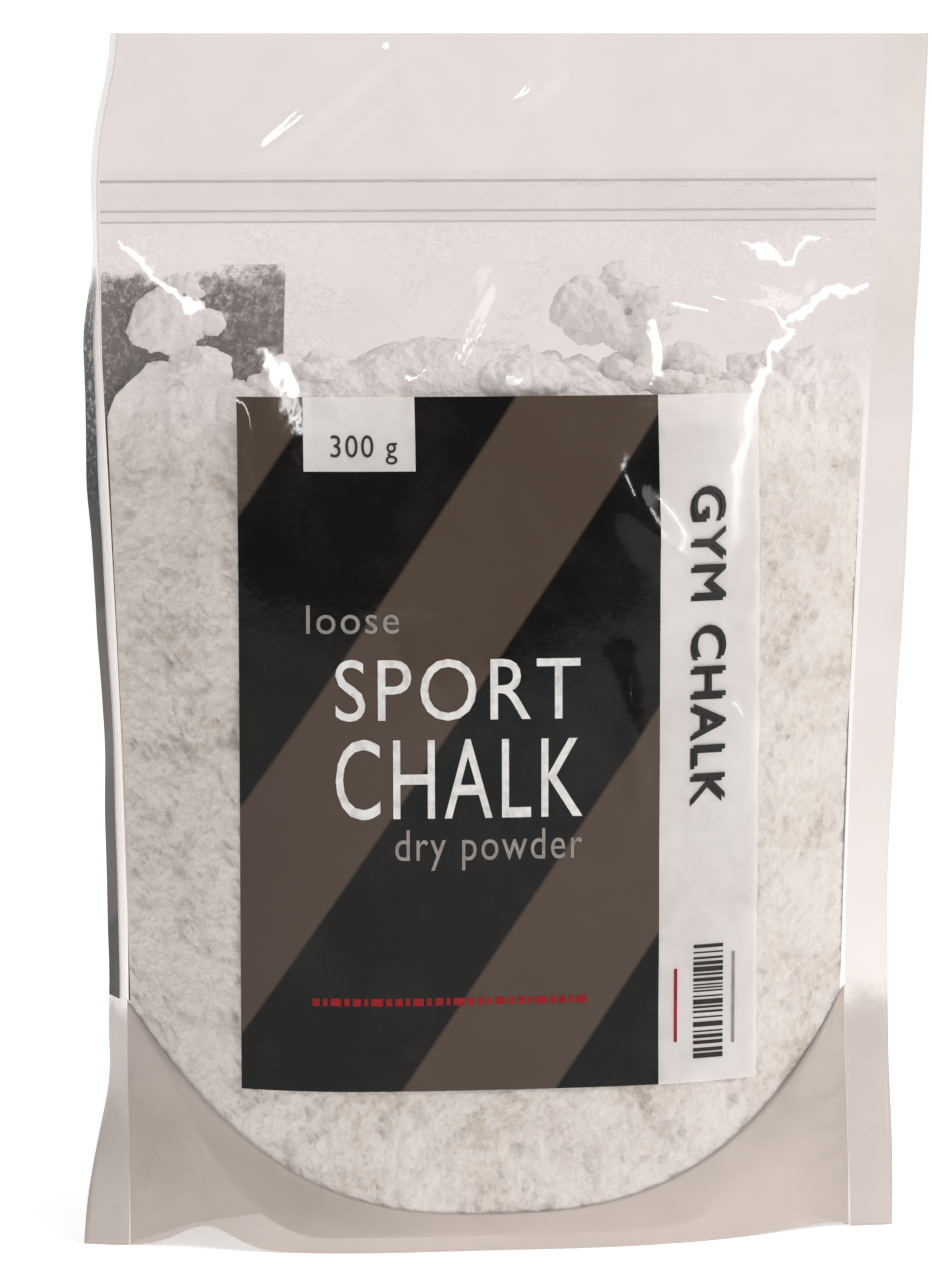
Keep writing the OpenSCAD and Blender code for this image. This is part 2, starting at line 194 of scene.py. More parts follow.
@dataclass
class PouchForm:
    """The outer form of the filled pouch, which every film, label and heap follows."""

    seal_w: float = 9.5 * MM
    belly_z: float = 20 * MM
    foot_tuck: float = 1.8 * MM
    film_t: float = 0.3 * MM
    zip_gap_half: float = 0.75 * MM
    flange_t: float = 0.25 * MM
    section_power: float = 3.2
    taper_power: float = 6.0
    chord_loss: float = 0.35
    foot_pull: float = 3 * MM
    pull_z: float = 60 * MM
    mouth_drift: float = 3 * MM
    side_slump: float = 0.5 * MM
    head_lean: float = math.radians(86)
    seal_lean: float = math.radians(70)
    foot_lean: float = math.radians(15)
    weld_z: float = 8.5 * MM
    weld_rise: float = 44 * MM
    gusset_flat: float = 0.45
    header_draw: float = 4.5 * MM
    header_wave: float = 1.3 * MM
    foot_spread: float = 8 * MM
    left_curl: float = 5.0 * MM
    right_curl: float = 0.8 * MM
    noise: Noise = field(default_factory=lambda: Noise(11))
    folds: tuple[Fold, ...] = ()
    header_folds: tuple[Fold, ...] = ()

    def __post_init__(self) -> None:
        """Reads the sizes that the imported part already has."""
        low, high = corners("right_side_seal")
        self.height = float(high[2])
        self.chamber_half = float(high[0]) + self.mouth_drift - self.seal_w
        low, high = corners("front_panel")
        self.belly_half = -float(low[1])
        self.panel_top = float(high[2])
        self.lip_base = float(corners("front_lip")[0][2])
        self.fold_z = (self.panel_top + self.lip_base) / 2
        low, high = corners("groove_strip")
        self.zip_z, self.zip_top = float(low[2]), float(high[2])
        self.closed_half = self.zip_gap_half + self.flange_t + self.film_t
        self.lip_foot = self.zip_z - self.fold_z

    def half_depth(self, z: Array) -> Array:
        """Half depth of the pouch at its middle, at height z.

        Args:
            z: Heights.

        Returns:
            One half depth for each height.
        """
        z = np.asarray(z, float)
        foot = self.belly_half - self.foot_tuck * np.clip(1 - z / self.belly_z, 0, 1) ** 2
        rise = np.clip((z - self.belly_z) / (self.zip_z - self.belly_z), 0, 1)
        upper = self.closed_half + (self.belly_half - self.closed_half) * (1 - rise**self.taper_power)
        return np.where(z < self.belly_z, foot, upper)

    def half_chord(self, z: Array) -> Array:
        """Half width of the chamber at height z, drawn in by the bulge and by the gusset."""
        bulged = self.chamber_half * (1 - self.chord_loss * (self.half_depth(z) / self.chamber_half) ** 2)
        return bulged - self.foot_pull * (1 - ease((z - self.pull_z) / (self.fold_z - self.pull_z)))

    def drift(self, z: Array) -> Array:
        """Sideways slump of the chamber's middle at height z."""
        below = 1 - ease(1.5 * (np.asarray(z, float) - self.fold_z) / self.lip_foot)
        return -self.mouth_drift - self.side_slump * below

    def reach(self, u: Array, z: Array) -> Array:
        """Half width on the side of u, which the header's left corner draws in a little."""
        corner = self.header_draw * ease((z - self.zip_z) / (self.height - self.zip_z)) ** 2
        return self.half_chord(z) - np.where(np.asarray(u) < 0, corner, 0.0)

    def share(self, x: Array, z: Array) -> Array:
        """Place of x between the chamber's middle, 0, and its sides, -1 and 1."""
        off = x - self.drift(z)
        return off / self.reach(off, z)

    def across(self, u: Array, z: Array) -> Array:
        """The x of share u of the half width, at height z."""
        return self.drift(z) + u * self.reach(u, z)

    def smooth_depth(self, x: Array, z: Array) -> Array:
        """Half depth of the chamber's inner face, with no wrinkles.

        Args:
            x: Places across the pouch.
            z: Heights, in an array of the same shape.

        Returns:
            One half depth for each place.
        """
        u = np.clip(np.abs(self.share(x, z)), 0, 1)
        flat = np.clip((z - self.lip_base) / (self.zip_z - self.lip_base), 0, 1) ** 3
        lens = (self.half_depth(z) - self.film_t) * (1 - u**self.section_power)
        mouth = (self.closed_half - self.film_t) * (1 - u**12)
        return (1 - flat) * lens + flat * mouth

    def wrinkles(self, x: Array, z: Array, side: Side) -> Array:
        """Outward offset of the film from its smooth form.

        Args:
            x: Places across the pouch.
            z: Heights, in an array of the same shape.
            side: The film that is asked about.

        Returns:
            Offsets, 0 at the side seals and at the zipper.
        """
        y = np.full(np.shape(x), 0.31 * side.value)
        here = np.stack([x, y, z], axis=-1)
        edge = (1 - np.abs(self.share(x, z))) * self.half_chord(z)
        free = 1 - np.exp(-((np.clip(edge, 0, None) / (5 * MM)) ** 2))
        shut = ease((self.zip_z - 1 * MM - z) / (7 * MM))
        broad = 0.9 * MM * self.noise.layered(here, 38 * MM, 2)
        stretched = here * np.array([0.45, 1.0, 1.0])
        pucker = 1 - np.abs(self.noise.at(stretched, 6.5 * MM))
        pucker = 1.0 * MM * (pucker**3 - 0.35) * np.exp(-edge / (11 * MM))
        hanging = here * np.array([1.0, 1.0, 0.3])
        shoulder = 1.3 * MM * self.noise.layered(hanging, 17 * MM, 2) * np.exp(-(self.zip_z - z) / (20 * MM))
        total = broad + pucker + shoulder * (z < self.zip_z)
        above = 0 * here[..., 0]
        if side is Side.FRONT:
            for fold in self.folds:
                total = total + fold.lift(x, z)
            for fold in self.header_folds:
                above = above + fold.lift(x, z)
        return total * free * shut + above * free * ease((z - self.zip_top) / (5 * MM))

    def sway(self, x: Array, z: Array) -> Array:
        """Shift that both films share: a wave in the header, and the foot's corners spread forward.

        Args:
            x: Places across the pouch.
            z: Heights, in an array of the same shape.

        Returns:
            Offsets along Y.
        """
        here = np.stack([x, np.zeros(np.shape(x)), z * 0.35], axis=-1)
        grow = ease((z - self.zip_z) / (self.height - self.zip_z))
        wave = self.header_wave * np.cos(x / (31 * MM) + 0.6)
        lift = wave + 1.0 * MM * self.noise.layered(here, 26 * MM, 2)
        corner = np.clip(np.abs(self.share(x, z)), 0, 1) ** 8 * (1 - ease(z / (50 * MM)))
        return grow * lift - self.foot_spread * corner

    def film_y(self, x: Array, z: Array, side: Side, out: float = 0.0) -> Array:
        """The y of one film's outer face.

        Args:
            x: Places across the pouch.
            z: Heights, in an array of the same shape.
            side: The film that is asked about.
            out: How far outside the film's face, negative for inside.

        Returns:
            The y of each place.
        """
        away = self.smooth_depth(x, z) + self.film_t / 2 + self.wrinkles(x, z, side) + out
        return side.value * away + self.sway(x, z)

    def lean(self, z: Array) -> Array:
        """Angle that the left seal is folded back by at height z."""
        body = self.foot_lean + (self.seal_lean - self.foot_lean) * ease(z / (2 * self.belly_z))
        return body + (self.head_lean - self.seal_lean) * ease((z - self.fold_z) / self.lip_foot)

    def seal_place(self, half: Half, w: Array, z: Array) -> Array:
        """Points on the middle of a side seal.

        Args:
            half: The seal that is asked about.
            w: Shares of its width, outwards from the chamber.
            z: Heights, of a shape that fits w.

        Returns:
            Points, with a last axis of x, y and z.
        """
        level = z + 0 * w
        turn = self.lean(level) if half is Half.LEFT else 0 * level
        here = np.stack([w * self.seal_w + 0 * z, 0 * level + half.value * 0.2, level], axis=-1)
        flutter = 1.3 * MM * self.noise.layered(here * np.array([0.4, 1, 1]), 24 * MM, 2)
        reach = w * (self.seal_w + 0.8 * MM * self.noise.at(here * np.array([0, 1, 1]), 30 * MM))
        x = self.across(float(half.value), level)
        x, y = x + half.value * (reach * np.cos(turn) - flutter * w * np.sin(turn)), reach * np.sin(turn)
        return np.stack([x, y + flutter * w * np.cos(turn) + self.sway(x, level), level], axis=-1)

    def weld(self, u: Array) -> Array:
        """Height of the gusset's weld at share u of the half width."""
        return self.weld_z + self.weld_rise * np.abs(u) ** 2.6

    def floor(self, u: Array, v: Array) -> Array:
        """Height of the gusset at shares u of the half width and v of the half depth.

        Args:
            u: Shares from -1 to 1 across.
            v: Shares from -1, at the front, to 1.

        Returns:
            The heights.
        """
        lowest = (self.weld(u) - 1 * MM) * ease((np.abs(u) - self.gusset_flat) / (1 - self.gusset_flat))
        climb = np.clip((np.abs(v) - 0.35) / 0.65, 0, None)
        return lowest + (self.weld(u) - lowest) * climb**1.8

    def rim(self, x: Array) -> Array:
        """How far the lower edge stands off the ground, where it curls up near the corners.

        Args:
            x: Places across the pouch.

        Returns:
            One height for each place.
        """
        left = self.left_curl * np.exp(-(((x + 66 * MM) / (8 * MM)) ** 2))
        right = self.right_curl * np.exp(-(((x - 69 * MM) / (12 * MM)) ** 2))
        return left + right


# Finishes


class Shader:
    """A material's node tree, with short calls to add and link its nodes."""

    def __init__(self, name: str) -> None:
        """Makes an empty material.

        Args:
            name: The material's name.
        """
        self.material = bpy.data.materials.new(name)
        self.material.use_nodes = True
        self.tree = self.material.node_tree
        self.tree.nodes.clear()
        self.output = self.tree.nodes.new("ShaderNodeOutputMaterial")
        self.place = self.tree.nodes.new("ShaderNodeTexCoord").outputs["Object"]

    def add(self, kind: str, **values: object) -> bpy.types.Node:
        """Adds a node and sets its inputs.

        Args:
            kind: The node's type, without the leading ShaderNode.
            **values: Input names, spaces as underscores, to values or sockets.

        Returns:
            The new node.
        """
        node = self.tree.nodes.new("ShaderNode" + kind)
        for name, value in values.items():
            self.put(node, name.replace("_", " "), value)
        return node

    def put(self, node: bpy.types.Node, name: str | int, value: object) -> None:
        """Links a socket into an input, or sets the input's own value.

        Args:
            node: The node.
            name: The name or number of its input.
            value: A socket, or the value to set.
        """
        if isinstance(value, Socket):
            self.tree.links.new(value, node.inputs[name])
        else:
            node.inputs[name].default_value = value

    def math(self, operation: str, a: object, b: object = 0.0) -> Socket:
        """The result of a math node on two numbers or sockets.

        Args:
            operation: Blender's name of the operation.
            a: First number or socket.
            b: Second number or socket.

        Returns:
            The result.
        """
        node = self.tree.nodes.new("ShaderNodeMath")
        node.operation = operation
        self.put(node, 0, a)
        self.put(node, 1, b)
        return node.outputs[0]

    def times(self, a: object, b: object) -> Socket:
        """The product of two numbers or sockets."""
        return self.math("MULTIPLY", a, b)

    def plus(self, a: object, b: object) -> Socket:
        """The sum of two numbers or sockets."""
        return self.math("ADD", a, b)

    def noise(self, scale: float, detail: float = 3.0, rough: float = 0.55) -> Socket:
        """Noise in object coordinates, with about scale cells to the metre."""
        node = self.add("TexNoise", Vector=self.place, Scale=scale, Detail=detail, Roughness=rough)
        return node.outputs[0]

    def ramp(self, value: object, stops: list[tuple[float, tuple[float, ...]]]) -> Socket:
        """Colours between stops, each a place from 0 to 1 and a colour.

        Args:
            value: The number that picks the colour.
            stops: Places and their colours, in rising order.

        Returns:
            The colour.
        """
        node = self.add("ValToRGB", Fac=value)
        ends = node.color_ramp.elements
        while len(ends) < len(stops):
            ends.new(0.5)
        for end, (place, colour) in zip(ends, stops, strict=True):
            end.position = place
            end.color = (*colour, 1.0) if len(colour) == 3 else colour
        return node.outputs[0]

    def split(self) -> bpy.types.NodeOutputs:
        """The x, y and z of the place, in the part's own frame."""
        return self.add("SeparateXYZ", Vector=self.place).outputs

    def bounce(self, head_on: float, normal: Socket) -> Socket:
        """Share of light that a thin film mirrors: little head on, all of it at a glancing angle."""
        facing = self.add("LayerWeight", Normal=normal).outputs["Facing"]
        return self.plus(self.times(self.math("POWER", facing, 4.0), 1 - head_on), head_on)

    def rise(self, value: object, start: float, end: float) -> Socket:
        """A number that goes from 0 to 1 as the value goes from start to end.

        Args:
            value: The number that is asked about.
            start: Where it is 0.
            end: Where it is 1.

        Returns:
            The number.
        """
        node = self.add("MapRange", Value=value)
        node.interpolation_type = "SMOOTHSTEP"
        self.put(node, 1, start)
        self.put(node, 2, end)
        return node.outputs[0]

    def blend(self, share: object, first: object, second: object) -> Socket:
        """A colour between two colours or colour sockets.

        Args:
            share: How much of the second there is.
            first: The first colour.
            second: The second colour.

        Returns:
            The colour.
        """
        node = self.add("Mix")
        node.data_type = "RGBA"
        self.put(node, 0, share)
        for slot, value in ((6, first), (7, second)):
            self.put(node, slot, (*value, 1.0) if isinstance(value, tuple) else value)
        return node.outputs[2]

    def mix(self, share: object, first: bpy.types.Node, second: bpy.types.Node) -> bpy.types.Node:
        """A shader between two shaders.

        Args:
            share: How much of the second there is.
            first: The first shader.
            second: The second shader.

        Returns:
            The mixing node.
        """
        node = self.add("MixShader")
        self.put(node, 0, share)
        self.put(node, 1, first.outputs[0])
        self.put(node, 2, second.outputs[0])
        return node

    def grey(self, value: object, stops: list[Pair]) -> Socket:
        """A number between stops, each a place from 0 to 1 and a grey."""
        return self.ramp(value, [(place, (g, g, g)) for place, g in stops])

    def bump(self, height: object, strength: float, distance: float) -> Socket:
        """A normal tilted by a height field.

        Args:
            height: The heights.
            strength: How strong it is, up to 1.
            distance: What a height of 1 stands for, in metres.

        Returns:
            The normal.
        """
        node = self.add("Bump", Height=height)
        node.inputs["Strength"].default_value = strength
        node.inputs["Distance"].default_value = distance
        return node.outputs[0]

    def surface(self, socket: Socket) -> Material:
        """Ends the tree in the given shader and returns the material."""
        self.tree.links.new(socket, self.output.inputs["Surface"])
        return self.material


@dataclass(frozen=True)
class FilmFinish:
    """Clear laminate: it tints what is behind it, and it is hazed, dusted on the inside and glossy."""

    name: str = "clear_film"
    tint: Triple = (0.955, 0.935, 0.92)
    head_tint: Triple = (0.905, 0.88, 0.868)
    haze_colour: Triple = (0.66, 0.605, 0.57)
    blush: Triple = (0.70, 0.61, 0.595)
    haze: float = 0.05
    head_haze: float = 0.17
    foot_haze: float = 0.05
    foot_z: float = 30 * MM
    foot_climb: float = 0.0
    slump: float = 3.5 * MM
    half_reach: float = 80 * MM
    dust: float = 0.5
    dust_z: float = 188 * MM
    clean_z: float = 219 * MM
    mirror: float = 0.022
    roughness: float = 0.06
    ripple: float = 0.14

    def build(self) -> Material:
        """Builds the node material."""
        s = Shader(self.name)
        x, _, height = s.split()
        head = s.rise(height, self.dust_z - 14 * MM, self.dust_z + 8 * MM)
        ripple = s.bump(s.noise(95, 2), self.ripple, 0.0014)
        clear = s.add("BsdfTransparent", Color=s.blend(head, self.tint, self.head_tint))
        gloss = s.add("BsdfGlossy", Color=(1, 1, 1, 1), Roughness=self.roughness, Normal=ripple)
        shiny = s.mix(s.bounce(self.mirror, ripple), clear, gloss)
        tone = s.ramp(s.noise(17, 2), [(0.42, self.haze_colour), (0.58, self.blush)])
        veil = s.add("BsdfPrincipled", Base_Color=tone, Roughness=0.55, Normal=ripple)
        level = s.plus(s.times(head, self.head_haze - self.haze), self.haze)
        off = s.times(s.plus(x, self.slump), 1 / self.half_reach)
        side = s.math("POWER", s.math("ABSOLUTE", off), 2.6)
        edge = s.plus(s.times(side, self.foot_climb), self.foot_z)
        under = s.math("SUBTRACT", edge, s.plus(height, s.times(s.noise(110, 4, 0.6), 0.012)))
        foot = s.rise(under, -8 * MM, 0.0)
        level = s.plus(s.times(foot, self.foot_haze - self.haze), level)
        cloud = s.times(s.grey(s.noise(26, 4), [(0.3, 0.7), (0.72, 1.35)]), level)
        hazy = s.mix(cloud, shiny, veil)
        grains = s.grey(s.noise(520, 3, 0.6), [(0.46, 0.0), (0.72, 1.0)])
        patches = s.grey(s.noise(48, 5, 0.7), [(0.5, 0.0), (0.66, 1.0)])
        ragged = s.plus(height, s.times(s.noise(70, 4), 0.012))
        ledge = s.rise(ragged, self.clean_z + 1 * MM, self.clean_z + 6 * MM)
        patches = s.math("MAXIMUM", patches, s.times(ledge, 0.6))
        inner = s.math("SUBTRACT", head, s.rise(height, self.clean_z - 1 * MM, self.clean_z))
        specks = s.times(s.times(grains, patches), s.times(inner, self.dust))
        powder = s.add("BsdfDiffuse", Color=(0.88, 0.86, 0.84, 1.0))
        return s.surface(s.mix(specks, hazy, powder).outputs[0])


@dataclass(frozen=True)
class ChalkFinish:
    """Dry matt chalk: beige where it is packed against the film, and nearly white where it is loose and where
    a painted lift of light whitens its top; painted shade sits in its grain's hollows and a faint painted
    glow fills its shadows.
    """

    name: str = "dry_chalk"
    # Random tone, and partly painted light: the crest colour is a painted highlight on the grain's crests and
    # the hollow colour painted shade in its hollows.
    crest: Triple = (0.825, 0.79, 0.76)
    middle: Triple = (0.75, 0.705, 0.67)
    hollow_tone_and_shade: Triple = (0.62, 0.56, 0.51)
    # Whiter towards the top: loose chalk is whiter, and the whiteness is partly a painted lift of the light
    # that falls on the heap.
    heap: Triple = (0.92, 0.905, 0.89)
    loose: Triple = (0.97, 0.965, 0.955)
    loose_and_lit_z: float = 176 * MM
    grain: float = 0.8
    # Painted glow: a faint emission in the chalk's own colour that lightens its shadows.
    glow: float = 0.05

    def build(self) -> Material:
        """Builds the node material."""
        s = Shader(self.name)
        fine = s.noise(420, 4, 0.65)
        mix = s.plus(s.times(s.noise(38, 5, 0.6), 0.6), s.times(fine, 0.4))
        # The fine grain also drives the bump, so its low values put painted shade in the hollows and its high
        # values a painted highlight on the crests.
        packed = s.ramp(mix, [(0.40, self.hollow_tone_and_shade), (0.46, self.middle), (0.56, self.crest)])
        white = s.ramp(mix, [(0.38, self.heap), (0.5, self.loose)])
        # Whiter towards the top: partly loose chalk, partly a painted lift of light on the top of the heap.
        top = s.rise(s.plus(s.split()[2], s.times(s.noise(60, 3), 0.02)), self.loose_and_lit_z, 0.2)
        colour = s.blend(top, packed, white)
        crumb = s.add("TexVoronoi", Vector=s.place, Scale=600.0)
        rough = s.plus(s.times(fine, 0.8), s.times(crumb.outputs[0], 0.4))
        normal = s.bump(rough, self.grain, 0.0014)
        body = s.add(
            "BsdfPrincipled", Base_Color=colour, Roughness=0.95, Normal=normal, Emission_Color=colour
        )
        body.inputs["Specular IOR Level"].default_value = 0.1
        # Painted glow: the chalk emits a little of its own colour, a fill light for its shadows.
        body.inputs["Emission Strength"].default_value = self.glow
        return s.surface(body.outputs[0])


@dataclass(frozen=True)
class LabelFinish:
    """Glossy dark print: brown, with broad black bands that run up to the right."""

    name: str = "dark_print"
    ground: Triple = (0.078, 0.053, 0.039)
    band: Triple = (0.0035, 0.003, 0.0027)
    pitch: float = 62 * MM
    slope: float = math.radians(56)
    worn_z: float = 1.0

    def build(self) -> Material:
        """Builds the node material."""
        s = Shader(self.name)
        x, _, z = s.split()
        across = s.times(x, math.sin(self.slope) / self.pitch)
        along = s.times(z, math.cos(self.slope) / self.pitch)
        step = s.math("FRACT", s.plus(s.math("SUBTRACT", across, along), 10.22))
        inside = s.grey(step, [(0.0, 0.0), (0.012, 1.0), (0.56, 1.0), (0.572, 0.0)])
        print_colour = s.blend(inside, self.ground, self.band)
        smear = s.grey(s.noise(65, 5, 0.65), [(0.45, 0.0), (0.78, 0.07)])
        smeared = s.blend(smear, print_colour, (0.16, 0.13, 0.11))
        ragged = s.plus(z, s.times(s.noise(110, 6, 0.75), 0.025))
        specks = s.grey(s.noise(650, 4, 0.8), [(0.5, 0.0), (0.62, 1.0)])
        near = s.rise(z, self.worn_z - 60 * MM, self.worn_z)
        dusted = s.blend(s.times(specks, s.times(near, 0.7)), smeared, (0.9, 0.88, 0.86))
        ripple = s.bump(s.noise(160, 3), 0.1, 0.0008)
        rough = s.grey(s.noise(85, 3), [(0.3, 0.06), (0.75, 0.12)])
        body = s.add("BsdfPrincipled", Base_Color=dusted, Roughness=rough, Normal=ripple)
        body.inputs["Specular IOR Level"].default_value = 0.2
        gone = s.rise(ragged, self.worn_z + 9 * MM, self.worn_z + 14 * MM)
        return s.surface(s.mix(gone, body, s.add("BsdfTransparent")).outputs[0])


@dataclass(frozen=True)
class PaleFilmFinish:
    """The unprinted part of a label: milky, and the chalk shows faintly through it."""

    name: str = "pale_label"
    colour: Triple = (0.84, 0.81, 0.795)
    cover: float = 0.62

    def build(self) -> Material:
        """Builds the node material."""
        s = Shader(self.name)
        ripple = s.bump(s.noise(120, 2), 0.1, 0.0010)
        tone = s.ramp(s.noise(50, 3), [(0.35, self.colour), (0.7, (0.88, 0.855, 0.845))])
        body = s.add("BsdfPrincipled", Base_Color=tone, Roughness=0.14, Normal=ripple)
        body.inputs["Specular IOR Level"].default_value = 0.2
        clear = s.add("BsdfTransparent", Color=(0.95, 0.93, 0.92, 1.0))
        cover = s.grey(s.noise(40, 3), [(0.3, self.cover * 0.85), (0.7, min(1.0, self.cover * 1.15))])
        return s.surface(s.mix(cover, clear, body).outputs[0])


@dataclass(frozen=True)
class InkFinish:
    """Printing ink, slightly uneven."""

    name: str
    colour: Triple
    roughness: float = 0.3

    def build(self) -> Material:
        """Builds the node material."""
        s = Shader(self.name)
        faint = tuple(c * 0.72 for c in self.colour)
        tone = s.ramp(s.noise(500, 3), [(0.25, faint), (0.6, self.colour)])
        body = s.add("BsdfPrincipled", Base_Color=tone, Roughness=self.roughness)
        body.inputs["Specular IOR Level"].default_value = 0.15
        return s.surface(body.outputs[0])


@dataclass(frozen=True)
class ZipperFinish:
    """Clear extruded plastic, faintly milky, with bright edges, dark lines that are painted shade along its
    profile's edges and one line of dust, and painted glint dashes on its right half.
    """

    name: str = "zipper_plastic"
    mirror: float = 0.015
    milk: float = 0.02
    low: float = 220 * MM
    tall: float = 11 * MM

    def build(self) -> Material:
        """Builds the node material."""
        s = Shader(self.name)
        beads = s.bump(s.noise(260, 3, 0.6), 0.3, 0.0008)
        clear = s.add("BsdfTransparent", Color=(0.997, 0.995, 0.994, 1.0))
        gloss = s.add("BsdfGlossy", Color=(1, 1, 1, 1), Roughness=0.12, Normal=beads)
        shiny = s.mix(s.bounce(self.mirror, beads), clear, gloss)
        tone = s.ramp(s.noise(90, 3), [(0.35, (0.78, 0.74, 0.72)), (0.7, (0.88, 0.86, 0.85))])
        milk = s.add("BsdfPrincipled", Base_Color=tone, Roughness=0.3, Normal=beads)
        cloud = s.grey(s.noise(150, 2), [(0.3, self.milk * 0.5), (0.7, self.milk * 1.5)])
        hazy = s.mix(cloud, shiny, milk)
        x, _, z = s.split()
        level = s.times(s.math("SUBTRACT", z, self.low), 1 / self.tall)
        # Dark grey lines: painted shade where the profile's edges are seen edge-on, and at 0.22 of the height
        # a line of dust.
        lower = [(0.0, 0.5), (0.05, 0.0), (0.19, 0.0), (0.22, 0.45), (0.26, 0.0)]
        shade_and_dust_lines = [*lower, (0.76, 0.0), (0.8, 0.6), (0.84, 0.0)]
        shade = s.mix(s.grey(level, shade_and_dust_lines), hazy, s.add("BsdfDiffuse", Color=(0.50, 0.46, 0.44, 1.0)))
        # Painted glints: white dashes along the track, only to the right of the middle.
        glint_spots = s.add("TexNoise", Vector=s.place, Scale=170.0, Detail=1.0)
        dashes = s.grey(glint_spots.outputs[0], [(0.46, 0.0), (0.5, 1.0)])
        track = s.grey(level, [(0.66, 0.0), (0.69, 1.0), (0.73, 1.0), (0.76, 0.0)])
        painted_glints = s.times(s.times(dashes, track), s.rise(x, 0.0, 0.02))
        return s.surface(s.mix(painted_glints, shade, s.add("BsdfDiffuse", Color=(1, 1, 1, 1))).outputs[0])


@dataclass(frozen=True)
class GroundFinish:
    """The pale floor that the pouch stands on."""

    name: str = "pale_floor"
    glow: float = 0.46

    def build(self) -> Material:
        """Builds the node material."""
        s = Shader(self.name)
        tone = s.ramp(s.noise(3, 2), [(0.3, (0.93, 0.93, 0.93)), (0.7, (0.95, 0.95, 0.95))])
        body = s.add("BsdfPrincipled", Base_Color=tone, Roughness=0.9)
        body.inputs["Specular IOR Level"].default_value = 0.0
        body.inputs["Emission Color"].default_value = (1.0, 1.0, 1.0, 1.0)
        body.inputs["Emission Strength"].default_value = self.glow
        return s.surface(body.outputs[0])


# Meshes


def make_piece(name: str, points: Array, faces: Faces, finish: Material) -> Piece:
    """Makes a smooth-shaded mesh object.

    Args:
        name: The piece's name.
        points: Vertices, one row of x, y, z each.
        faces: Indices of each face's corners.
        finish: The material that it wears.

    Returns:
        The new object, linked to the scene.
    """
    mesh = bpy.data.meshes.new(name)
    mesh.from_pydata(np.asarray(points, float).reshape(-1, 3).tolist(), [], faces)
    mesh.validate()
    mesh.shade_smooth()
    mesh.materials.append(finish)
    piece = bpy.data.objects.new(name, mesh)
    bpy.context.scene.collection.objects.link(piece)
    return piece


def grid_faces(cols: int, rows: int, flip: bool = False, keep: Array | None = None) -> Faces:
    """Faces of a grid of points that is stored column by column.

    Args:
        cols: Number of columns.
        rows: Number of points in each column.
        flip: Whether the faces look the other way.
        keep: Which cells have a face, as a (cols - 1, rows - 1) array, or None for all.

    Returns:
        Corner indices of each face.
    """
    faces = []
    for i in range(cols - 1):
        for j in range(rows - 1):
            if keep is not None and not keep[i, j]:
                continue
            a, b = i * rows + j, (i + 1) * rows + j
            faces.append((a, a + 1, b + 1, b) if flip else (a, b, b + 1, a + 1))
    return faces


def trim(points: Array, faces: Faces) -> tuple[Array, Faces]:
    """Drops the points that no face uses, and numbers the faces again.

    Args:
        points: All points.
        faces: Corner indices of each face.

    Returns:
        The points that are left, and the faces.
    """
    flat = np.asarray(points, float).reshape(-1, 3)
    used = sorted({i for f in faces for i in f})
    place = {old: new for new, old in enumerate(used)}
    return flat[used], [tuple(place[i] for i in f) for f in faces]


def evaluated(piece: Piece) -> None:
    """Applies every modifier of a piece to its mesh.

    Args:
        piece: A mesh with modifiers.
    """
    bpy.context.view_layer.update()
    graph = bpy.context.evaluated_depsgraph_get()
    mesh = bpy.data.meshes.new_from_object(piece.evaluated_get(graph))
    piece.modifiers.clear()
    old = piece.data
    piece.data = mesh
    bpy.data.meshes.remove(old)


def between(*stops: tuple[float, int]) -> Array:
    """Evenly spaced values through stops: each stop is a value and the steps that lead to it.

    Args:
        *stops: Values and numbers of steps.

    Returns:
        The values, in order.
    """
    values = [stops[0][0]]
    for (start, _), (end, steps) in zip(stops, stops[1:], strict=False):
        values.extend(start + (end - start) * (k + 1) / steps for k in range(steps))
    return np.array(values)


# Sub-assemblies


